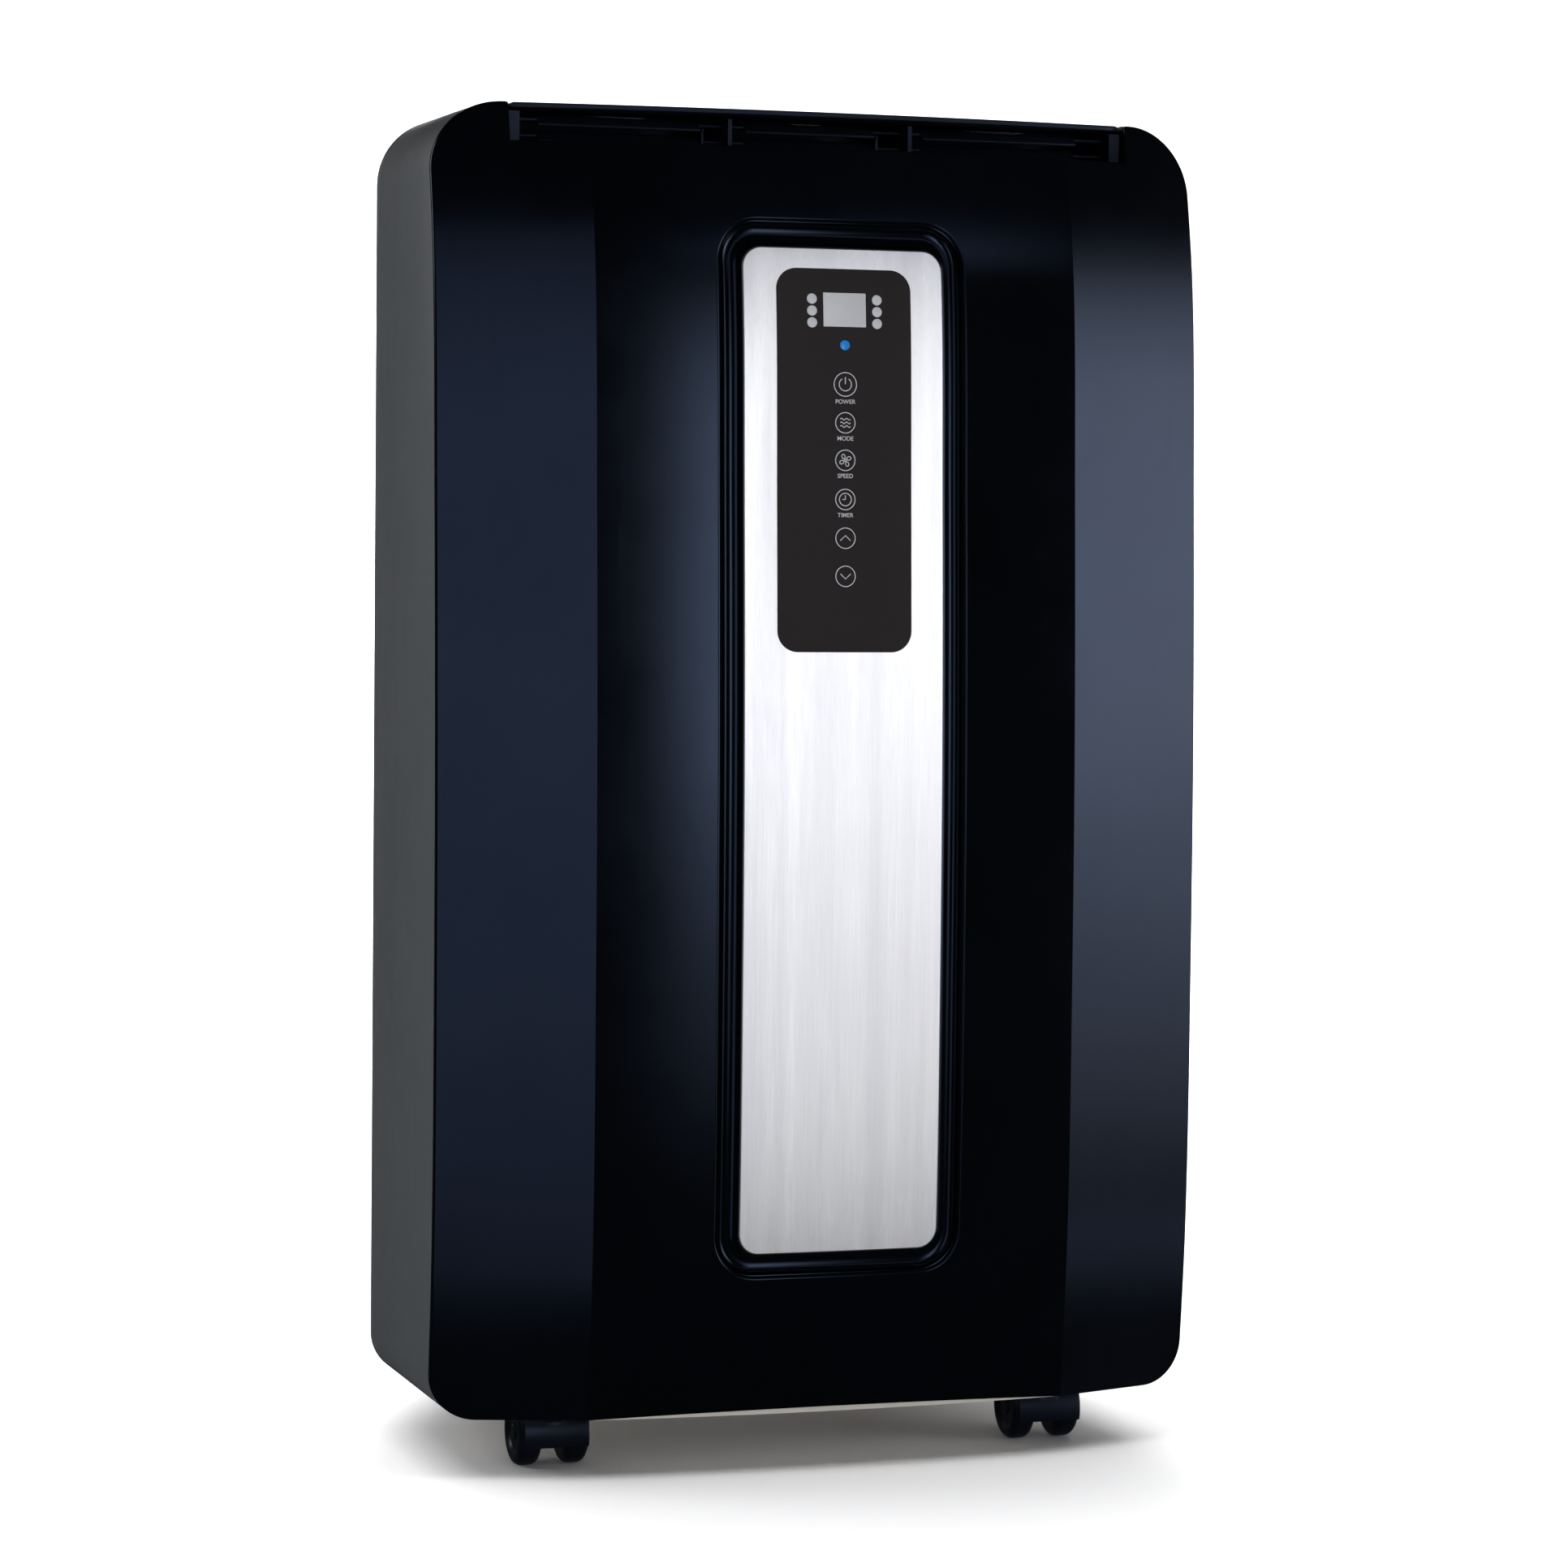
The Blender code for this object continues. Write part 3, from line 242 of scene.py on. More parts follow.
@dataclass(frozen=True)
class BrushedSheet:
    """Aluminium sheet brushed upright: hairlines that spread a highlight sideways.

    The hairlines are drawn about three times as wide as real ones, or they would be too fine to
    show. The spread lies along u of the piece's own grain map.
    """

    name: str
    slot: str
    colour: str
    shade: str
    roughness: float
    hairline_mm: float = 0.7
    grain_map: str = "grain"

    def build(self) -> bpy.types.Material:
        """Make the material.

        Returns:
            The new material.
        """
        material, tree, place = new_material(self.name, {"Metallic": 1.0, "Anisotropic": 0.72})
        along = add_node(tree, "ShaderNodeMapping", {"Scale": (1.0, 1.0, 0.012)}, {"Vector": place})
        hair = add_node(tree, "ShaderNodeTexNoise", {
            "Scale": per_metre(self.hairline_mm), "Detail": 4.0, "Roughness": 0.75},
            {"Vector": along.outputs["Vector"]})
        band = add_node(tree, "ShaderNodeTexNoise", {
            "Scale": per_metre(14.0), "Detail": 2.0}, {"Vector": along.outputs["Vector"]})
        both = add_node(tree, "ShaderNodeMath", {"operation": "MULTIPLY"}, {
            0: hair.outputs["Fac"], 1: band.outputs["Fac"]})
        streak = add_node(tree, "ShaderNodeMapRange", {
            "From Min": 0.02, "From Max": 0.46}, {"Value": both.outputs["Value"]})
        colour = add_node(tree, "ShaderNodeMix", {
            "data_type": "RGBA", 6: linear(self.shade), 7: linear(self.colour)},
            {0: streak.outputs["Result"]})
        rough = add_node(tree, "ShaderNodeMapRange", {
            "To Min": self.roughness + 0.06, "To Max": self.roughness - 0.04},
            {"Value": streak.outputs["Result"]})
        bump = add_node(tree, "ShaderNodeBump", {
            "Strength": 0.35, "Distance": 0.03 * MM}, {"Height": hair.outputs["Fac"]})
        tangent = add_node(tree, "ShaderNodeTangent", {
            "direction_type": "UV_MAP", "uv_map": self.grain_map})
        feed_shader(tree, {"Base Color": colour.outputs[2], "Roughness": rough.outputs["Result"],
                           "Normal": bump.outputs["Normal"], "Tangent": tangent.outputs["Tangent"]})
        return material


@dataclass(frozen=True)
class MetalSkin:
    """Rolled, plated or drawn metal: faint rolling lines and dull handling marks."""

    name: str
    slot: str
    colour: str
    tarnish: str
    roughness: float

    def build(self) -> bpy.types.Material:
        """Make the material.

        Returns:
            The new material.
        """
        material, tree, place = new_material(self.name, {"Metallic": 1.0})
        marks = add_node(tree, "ShaderNodeTexNoise", {
            "Scale": per_metre(18.0), "Detail": 6.0, "Roughness": 0.65}, {"Vector": place})
        lines = add_node(tree, "ShaderNodeTexWave", {
            "Scale": per_metre(14.0), "Distortion": 3.0, "Detail": 2.0}, {"Vector": place})
        colour = add_node(tree, "ShaderNodeMix", {
            "data_type": "RGBA", 6: linear(self.colour), 7: linear(self.tarnish)},
            {0: marks.outputs["Fac"]})
        rough = add_node(tree, "ShaderNodeMapRange", {
            "From Min": 0.3, "From Max": 0.7, "To Min": self.roughness - 0.08,
            "To Max": self.roughness + 0.10}, {"Value": marks.outputs["Fac"]})
        bump = add_node(tree, "ShaderNodeBump", {
            "Strength": 0.15, "Distance": 0.05 * MM}, {"Height": lines.outputs["Fac"]})
        feed_shader(tree, {"Base Color": colour.outputs[2], "Roughness": rough.outputs["Result"],
                           "Normal": bump.outputs["Normal"]})
        return material


@dataclass(frozen=True)
class FinStock:
    """Aluminium fins pressed on tubes: thin bright upright plates, painted shade in the gaps.

    They are drawn 19 mm apart with tube rows 157 mm apart, far coarser than real fins, which stand
    about 1.5 mm apart.
    """

    name: str
    slot: str
    colour: str
    gap: str
    pitch_mm: float = 18.85
    row_mm: float = 157.08

    def build(self) -> bpy.types.Material:
        """Make the material.

        Returns:
            The new material.
        """
        material, tree, place = new_material(self.name, {"Metallic": 0.9})
        fins = add_node(tree, "ShaderNodeTexWave", {
            "bands_direction": "X", "Scale": wave_scale(self.pitch_mm), "Distortion": 0.15,
            "Detail Scale": 40.0}, {"Vector": place})
        tubes = add_node(tree, "ShaderNodeTexWave", {
            "bands_direction": "Z", "Scale": wave_scale(self.row_mm)}, {"Vector": place})
        dents = add_node(tree, "ShaderNodeTexNoise", {"Scale": per_metre(30.0)}, {"Vector": place})
        depth = add_node(tree, "ShaderNodeMath", {"operation": "POWER", 1: 0.6},
                         {0: fins.outputs["Fac"]})
        # painted shade: the dark gap colour fills the spaces between the fins
        lit = add_node(tree, "ShaderNodeMix", {
            "data_type": "RGBA", 6: linear(self.gap), 7: linear(self.colour)},
            {0: depth.outputs["Value"]})
        # painted shade: the fins darken in bands along the tube rows
        shaded = add_node(tree, "ShaderNodeMapRange", {"To Min": 0.65, "To Max": 1.0},
                          {"Value": tubes.outputs["Fac"]})
        colour = add_node(tree, "ShaderNodeMix", {
            "data_type": "RGBA", "blend_type": "MULTIPLY", 0: 1.0},
            {6: lit.outputs[2], 7: shaded.outputs["Result"]})
        rough = add_node(tree, "ShaderNodeMapRange", {"To Min": 0.3, "To Max": 0.5},
                         {"Value": dents.outputs["Fac"]})
        bump = add_node(tree, "ShaderNodeBump", {"Strength": 0.8, "Distance": 0.6 * MM},
                        {"Height": fins.outputs["Fac"]})
        feed_shader(tree, {"Base Color": colour.outputs[2], "Roughness": rough.outputs["Result"],
                           "Normal": bump.outputs["Normal"]})
        return material


@dataclass(frozen=True)
class FilterWeave:
    """Woven nylon filter gauze: a dark open grid of threads.

    The threads are drawn about 13 mm apart, far coarser than real ones.
    """

    name: str
    slot: str
    thread: str
    hole: str
    pitch_mm: float = 12.57

    def build(self) -> bpy.types.Material:
        """Make the material.

        Returns:
            The new material.
        """
        material, tree, place = new_material(self.name, {"Specular IOR Level": 0.3})
        across = add_node(tree, "ShaderNodeTexWave", {
            "bands_direction": "X", "Scale": wave_scale(self.pitch_mm)}, {"Vector": place})
        upright = add_node(tree, "ShaderNodeTexWave", {
            "bands_direction": "Z", "Scale": wave_scale(self.pitch_mm)}, {"Vector": place})
        weave = add_node(tree, "ShaderNodeMath", {"operation": "MAXIMUM"}, {
            0: across.outputs["Fac"], 1: upright.outputs["Fac"]})
        dust = add_node(tree, "ShaderNodeTexNoise", {"Scale": per_metre(25.0), "Detail": 4.0},
                        {"Vector": place})
        # the hole colour fills the weave's gaps: painted shade of the dark behind on the filter gauze, the
        # weave's own darker tone on the solder mask
        colour = add_node(tree, "ShaderNodeMix", {
            "data_type": "RGBA", 6: linear(self.hole), 7: linear(self.thread)},
            {0: weave.outputs["Value"]})
        rough = add_node(tree, "ShaderNodeMapRange", {"To Min": 0.65, "To Max": 0.95},
                         {"Value": dust.outputs["Fac"]})
        bump = add_node(tree, "ShaderNodeBump", {"Strength": 0.8, "Distance": 0.4 * MM},
                        {"Height": weave.outputs["Value"]})
        feed_shader(tree, {"Base Color": colour.outputs[2], "Roughness": rough.outputs["Result"],
                           "Normal": bump.outputs["Normal"]})
        return material


@dataclass(frozen=True)
class BeadFoam:
    """Expanded polystyrene: 4 mm pressed beads, with painted shade in the fine creases between them."""

    name: str
    slot: str
    colour: str
    crease: str
    bead_mm: float = 4.0

    def build(self) -> bpy.types.Material:
        """Make the material.

        Returns:
            The new material.
        """
        material, tree, place = new_material(self.name, {"Specular IOR Level": 0.3})
        beads = add_node(tree, "ShaderNodeTexVoronoi", {
            "feature": "DISTANCE_TO_EDGE", "Scale": per_metre(self.bead_mm)}, {"Vector": place})
        edge = add_node(tree, "ShaderNodeMapRange", {"From Max": 0.12},
                        {"Value": beads.outputs["Distance"]})
        soil = add_node(tree, "ShaderNodeTexNoise", {"Scale": per_metre(50.0)}, {"Vector": place})
        # painted shade: a darker colour in the creases between the beads
        colour = add_node(tree, "ShaderNodeMix", {
            "data_type": "RGBA", 6: linear(self.crease), 7: linear(self.colour)},
            {0: edge.outputs["Result"]})
        rough = add_node(tree, "ShaderNodeMapRange", {"To Min": 0.6, "To Max": 0.9},
                         {"Value": soil.outputs["Fac"]})
        bump = add_node(tree, "ShaderNodeBump", {"Strength": 0.5, "Distance": 0.3 * MM},
                        {"Height": edge.outputs["Result"]})
        feed_shader(tree, {"Base Color": colour.outputs[2], "Roughness": rough.outputs["Result"],
                           "Normal": bump.outputs["Normal"]})
        return material


Finish = MouldedPlastic | BrushedSheet | MetalSkin | FinStock | FilterWeave | BeadFoam

# Gloss-moulded front: deep blue-black that mirrors soft lights, with a cool blue tint painted into its
# reflections.
GLOSS_BLACK = MouldedPlastic("moulded_abs_gloss_black", "gloss_black", "020304", "030406", 0.15,
                             spread=0.03, grain_mm=2.4, relief_mm=0.004, scuffs=0.05,
                             gloss=0.42, tint="9DB4DC")
# Spark-grained case plastic: an even dark grey with a dull sheen.
SATIN_GREY = MouldedPlastic("moulded_abs_satin_grey", "satin_grey", "484C50", "43474A", 0.48,
                            grain_mm=1.3, relief_mm=0.05)
# Upright hairlines in bare aluminium.
BRUSHED_ALUMINIUM = BrushedSheet("brushed_aluminium_sheet", "brushed_metal", "F6F6F8", "DEDEE1", 0.36)
# Printed polycarbonate overlay: near-black and flat, with a faint satin.
OVERLAY_BLACK = MouldedPlastic("polycarbonate_overlay_black", "panel_black", "231F20", "211D1E", 0.50,
                               spread=0.03, relief_mm=0.006, scuffs=0.04, gloss=0.12)
# Silk-screen ink in pale grey: flat, slightly uneven cover.
LEGEND_INK = MouldedPlastic("silkscreen_ink_grey", "panel_black", "B4B5B9", "A4A6AA", 0.55,
                            grain_mm=0.8, cloud_mm=3.0, scuffs=0.0, gloss=0.3)
# Unlit diffusing lens: milky grey acrylic.
LENS_GREY = MouldedPlastic("acrylic_lens_grey", "lens_grey", "B0B1B5", "A7A9AC", 0.30,
                           spread=0.02, grain_mm=1.0, relief_mm=0.004, cloud_mm=40.0, scuffs=0.0)
# Infra-red receiver lens: clear blue acrylic.
LENS_BLUE = MouldedPlastic("acrylic_lens_blue", "lens_blue", "0E78C0", "0C6CB0", 0.22,
                           spread=0.03, relief_mm=0.004, cloud_mm=4.0, scuffs=0.03)
# Unpainted black ABS inside the outlet: satin, slightly blue where light grazes it; that blue is
# painted light, in its lifted bluish colour and its blue-tinted reflections.
INNER_BLACK = MouldedPlastic("moulded_abs_satin_black", "black_plastic", "1A1D25", "15181F", 0.42,
                             relief_mm=0.03, tint="A8BCE0")
# Undertray in a warm light grey: coarse-grained polypropylene.
TRAY_GREY = MouldedPlastic("moulded_polypropylene_grey", "base_grey", "C9C4BA", "BDB7AC", 0.55,
                           grain_mm=1.6, relief_mm=0.06)
# Castor nylon: tough, blue-black, with a soft waxy shine whose blue tint is painted reflection colour.
CASTOR_NYLON = MouldedPlastic("moulded_nylon_black", "castor_plastic", "0B0E17", "080A11", 0.34,
                              relief_mm=0.02, scuffs=0.18, tint="A8BCE0")
# Rubber plug and gland: dull, dusty black.
SOFT_RUBBER = MouldedPlastic("moulded_rubber_black", "rubber_black", "1B1B1C", "242424", 0.80,
                             relief_mm=0.05, scuffs=0.08, gloss=0.3)
# Filter gauze: dark threads, with near-black painted shade in the holes standing for the dark inside
# behind it.
FILTER_GAUZE = FilterWeave("woven_nylon_gauze", "filter_mesh", "3A3D42", "0B0C0E")
# Coil fins: bright aluminium plates, with near-black painted shade in the gaps between them and in bands
# along the tube rows.
COIL_FINS = FinStock("aluminium_fin_stock", "coil_metal", "DADCDD", "2A2B2C")
# White bead foam, with pale grey painted shade in the creases between beads.
WHITE_FOAM = BeadFoam("expanded_polystyrene", "foam_white", "EDEDE8", "CFCFC8")
# Fan moulding: pale glass-filled polypropylene.
FAN_PLASTIC = MouldedPlastic("glass_filled_polypropylene", "fan_white", "D2D4D6", "C6C9CC", 0.50)
MOTOR_STEEL = MetalSkin("zinc_plated_steel", "motor_steel", "C4C5C8", "9A9B9F", 0.38)
# Compressor can: thick black enamel on steel.
CAN_ENAMEL = MouldedPlastic("black_enamel_on_steel", "compressor_black", "141415", "0E0E0F", 0.32,
                            grain_mm=3.0, relief_mm=0.05)
COPPER_TUBE = MetalSkin("drawn_copper", "copper", "D98B63", "8F5136", 0.30)
# Circuit board: green solder mask over a glass weave.
SOLDER_MASK = FilterWeave("solder_mask_green", "board_green", "1D7043", "155534", 10.05)

_materials: dict[str, bpy.types.Material] = {}


def material_of(finish: Finish) -> bpy.types.Material:
    """The material of a finish, made once.

    Args:
        finish: what a piece is made of.

    Returns:
        The material that all such pieces share.
    """
    if finish.name not in _materials:
        _materials[finish.name] = finish.build()
    return _materials[finish.name]


# --- Modelling by operator ---


def activate(piece: Piece) -> None:
    """Select one object alone and make it active.

    Args:
        piece: the object to select.
    """
    bpy.ops.object.select_all(action="DESELECT")
    piece.hide_set(False)
    piece.select_set(True)
    bpy.context.view_layer.objects.active = piece


@contextmanager
def editing(piece: Piece) -> Iterator[None]:
    """Hold a piece in edit mode with everything selected.

    Args:
        piece: the mesh object to edit.

    Returns:
        A context that goes back to object mode at its end.
    """
    activate(piece)
    bpy.ops.object.mode_set(mode="EDIT")
    bpy.ops.mesh.select_mode(type="VERT")
    bpy.ops.mesh.select_all(action="SELECT")
    yield
    bpy.ops.object.mode_set(mode="OBJECT")


def select_faces(piece: Piece, test: FaceTest) -> None:
    """Select the faces that pass a test, in edit mode.

    Args:
        piece: the object in edit mode.
        test: takes a face's centre and normal.
    """
    bpy.ops.mesh.select_mode(type="FACE")
    bpy.ops.mesh.select_all(action="DESELECT")
    mesh = bmesh.from_edit_mesh(piece.data)
    for face in [face for face in mesh.faces if test(face.calc_center_median(), face.normal)]:
        face.select_set(True)
    bmesh.update_edit_mesh(piece.data)


def select_edges(piece: Piece, test: EdgeTest) -> int:
    """Select the edges that pass a test, in edit mode.

    Args:
        piece: the object in edit mode.
        test: takes a bmesh edge.

    Returns:
        How many edges were selected.
    """
    bpy.ops.mesh.select_mode(type="EDGE")
    bpy.ops.mesh.select_all(action="DESELECT")
    mesh = bmesh.from_edit_mesh(piece.data)
    found = [edge for edge in mesh.edges if test(edge)]
    for edge in found:
        edge.select_set(True)
    bmesh.update_edit_mesh(piece.data)
    return len(found)


def is_sharp(edge: bmesh.types.BMEdge) -> bool:
    """Whether an edge folds its two faces by over 30 degrees."""
    return len(edge.link_faces) == 2 and edge.calc_face_angle(0.0) > radians(30)


def block(name: str, low: Sequence[float], high: Sequence[float]) -> Piece:
    """A box between two corners, with its place in its mesh.

    Args:
        name: the object's name.
        low: the lowest corner.
        high: the highest corner.

    Returns:
        The new object.
    """
    low = Vector(low)
    high = Vector(high)
    bpy.ops.object.select_all(action="DESELECT")
    bpy.ops.mesh.primitive_cube_add(size=1, location=(low + high) / 2)
    piece = bpy.context.object
    piece.name = name
    piece.scale = high - low
    bpy.ops.object.transform_apply(location=True, rotation=True, scale=True)
    return piece


def rod(name: str, start: Sequence[float], end: Sequence[float], radius: float,
        steps: int = 32) -> Piece:
    """A cylinder from one point to another, with its place in its mesh.

    Args:
        name: the object's name.
        start: the centre of one end.
        end: the centre of the other end.
        radius: its radius.
        steps: its number of sides.

    Returns:
        The new object.
    """
    start = Vector(start)
    along = Vector(end) - start
    bpy.ops.object.select_all(action="DESELECT")
    bpy.ops.mesh.primitive_cylinder_add(
        vertices=steps, radius=radius, depth=along.length, location=start + along / 2,
        rotation=along.to_track_quat("Z", "Y").to_euler())
    piece = bpy.context.object
    piece.name = name
    bpy.ops.object.transform_apply(location=True, rotation=True, scale=True)
    return piece


def round_edges(piece: Piece, test: EdgeTest, radius: float, segments: int) -> Piece:
    """Bevel the edges that pass a test into an arc of a radius.

    Args:
        piece: the object to bevel.
        test: takes a bmesh edge.
        radius: the arc's radius on a square edge.
        segments: how many faces round the arc.

    Returns:
        The same object.
    """
    with editing(piece):
        if select_edges(piece, test):
            bpy.ops.mesh.bevel(offset=radius, offset_type="OFFSET", segments=segments,
                               profile=0.5, affect="EDGES", clamp_overlap=True)
    return piece


def soften(piece: Piece, width: float, segments: int = 2) -> Piece:
    """Round every sharp edge a little, as moulded and sheared edges are.

    Args:
        piece: the object to bevel.
        width: the bevel's width.
        segments: faces across the bevel.

    Returns:
        The same object.
    """
    bevel = piece.modifiers.new("softened", "BEVEL")
    bevel.width = width
    bevel.segments = segments
    bevel.limit_method = "ANGLE"
    bevel.angle_limit = radians(30)
    return apply_modifier(piece, bevel)


def apply_modifier(piece: Piece, modifier: bpy.types.Modifier) -> Piece:
    """Apply one modifier to its object.

    Args:
        piece: the object.
        modifier: the modifier to apply.

    Returns:
        The same object.
    """
    activate(piece)
    bpy.ops.object.modifier_apply(modifier=modifier.name)
    return piece


def carve(piece: Piece, cutter: Piece, operation: str = "DIFFERENCE") -> Piece:
    """Cut one solid by another, or join them, and remove the other.

    Args:
        piece: the solid that stays.
        cutter: the solid that is used up.
        operation: the Boolean modifier's operation.

    Returns:
        The cut object.
    """
    modifier = piece.modifiers.new("carve", "BOOLEAN")
    modifier.operation = operation
    modifier.solver = "EXACT"
    modifier.object = cutter
    apply_modifier(piece, modifier)
    bpy.data.objects.remove(cutter)
    return piece


def join(name: str, pieces: Sequence[Piece]) -> Piece:
    """Join objects into one, in the order given.

    Args:
        name: the joined object's name.
        pieces: the objects to join.

    Returns:
        The joined object.
    """
    activate(pieces[0])
    for piece in pieces[1:]:
        piece.select_set(True)
    bpy.ops.object.join()
    pieces[0].name = name
    return pieces[0]


def copy_of(piece: Piece, name: str, move: Matrix) -> Piece:
    """A copy of a piece with its own mesh, moved by a matrix.

    Args:
        piece: the object to copy.
        name: the copy's name.
        move: where the copy goes.

    Returns:
        The copy.
    """
    twin = piece.copy()
    twin.data = piece.data.copy()
    twin.name = name
    twin.data.transform(move)
    if move.determinant() < 0:
        twin.data.flip_normals()
    bpy.context.scene.collection.objects.link(twin)
    return twin


def slice_across(piece: Piece, places: Iterable[Sequence[float]], direction: Vector) -> Piece:
    """Cut a mesh's faces along planes, so that it can follow a curve.

    Args:
        piece: the object to cut.
        places: a point on each plane.
        direction: the planes' shared normal.

    Returns:
        The same object.
    """
    with editing(piece):
        for place in places:
            bpy.ops.mesh.select_all(action="SELECT")
            bpy.ops.mesh.bisect(plane_co=place, plane_no=direction)
    return piece


def shade(piece: Piece, angle: float = SMOOTH_ANGLE) -> Piece:
    """Shade a piece smooth except across folds of more than an angle.

    Args:
        piece: the object to shade.
        angle: the sharpest fold that is still smooth.

    Returns:
        The same object.
    """
    activate(piece)
    bpy.ops.object.shade_smooth_by_angle(angle=angle)
    return piece


def tidy_mesh(piece: Piece) -> Piece:
    """Merge doubled points and turn every face outwards.

    Args:
        piece: the object to clean.

    Returns:
        The same object.
    """
    with editing(piece):
        bpy.ops.mesh.remove_doubles(threshold=TINY)
        bpy.ops.mesh.select_all(action="SELECT")
        bpy.ops.mesh.normals_make_consistent(inside=False)
    return piece


def turned(name: str, profile: Sequence[tuple[float, float]], place: Vector, axis: Vector,
           steps: int = 64) -> Piece:
    """A turned piece: a ring drawn out along a profile by extrusion and scaling.

    Args:
        name: the object's name.
        profile: (radius, height) points. A ring that closes on itself repeats its first point.
        place: the profile's zero height on the axis.
        axis: the direction of height.
        steps: how many sides the ring has.

    Returns:
        The new object.
    """
    bpy.ops.object.select_all(action="DESELECT")
    radius, height = profile[0]
    bpy.ops.mesh.primitive_circle_add(vertices=steps, radius=max(radius, TINY),
                                      location=(0, 0, height))
    piece = bpy.context.object
    piece.name = name
    bpy.ops.object.transform_apply(location=True, rotation=True, scale=True)
    with editing(piece):
        now = max(radius, TINY)
        for radius, level in profile[1:]:
            radius = max(radius, TINY / 10)
            bpy.ops.mesh.extrude_region_move(
                TRANSFORM_OT_translate={"value": (0, 0, level - height)})
            bpy.ops.transform.resize(value=(radius / now, radius / now, 1.0),
                                     center_override=(0, 0, level))
            now = radius
            height = level
    turn = axis.to_track_quat("Z", "Y").to_matrix().to_4x4()
    piece.data.transform(Matrix.Translation(place) @ turn)
    return shade(tidy_mesh(piece))


def arc(centre: tuple[float, float], radius: float, start: float, end: float,
        steps: int) -> list[tuple[float, float]]:
    """Points on an arc, for a turned profile.

    Args:
        centre: (radius, height) of the arc's centre.
        radius: the arc's own radius.
        start: first angle in degrees, from outwards towards up.
        end: last angle in degrees.
        steps: how many spans the arc has.

    Returns:
        The points, both ends included.
    """
    angles = [radians(start + (end - start) * step / steps) for step in range(steps + 1)]
    return [(centre[0] + radius * cos(a), centre[1] + radius * sin(a)) for a in angles]


def finish_piece(piece: Piece, body: str, finish: Finish, *nodes: str) -> Piece:
    """Dress a piece, set it on its body, and let it stand for its CAD nodes.

    Args:
        piece: the finished mesh object.
        body: the body it rides on.
        finish: what it is made of.
        nodes: the CAD nodes that it replaces.

    Returns:
        The same object.
    """
    piece.data.name = piece.name
    piece.data.materials.clear()
    piece.data.materials.append(material_of(finish))
    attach(piece, body)
    if nodes:
        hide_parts(*nodes)
    log.info("%s on %s: %d faces", piece.name, body, len(piece.data.polygons))
    return piece


def dress_node(frame: dict, node: str, finish: Finish) -> None:
    """Give a carried-over CAD node a finish by its material slots.

    Args:
        frame: the loaded frame.
        node: the node's name.
        finish: what it is made of.
    """
    item = frame["nodes"][node]
    if not item.material_slots:
        item.data.materials.append(material_of(finish))
    for holder in item.material_slots:
        holder.material = material_of(finish)
    log.info("%s keeps its shape, dressed in %s", node, finish.name)


# --- The front's curve ---


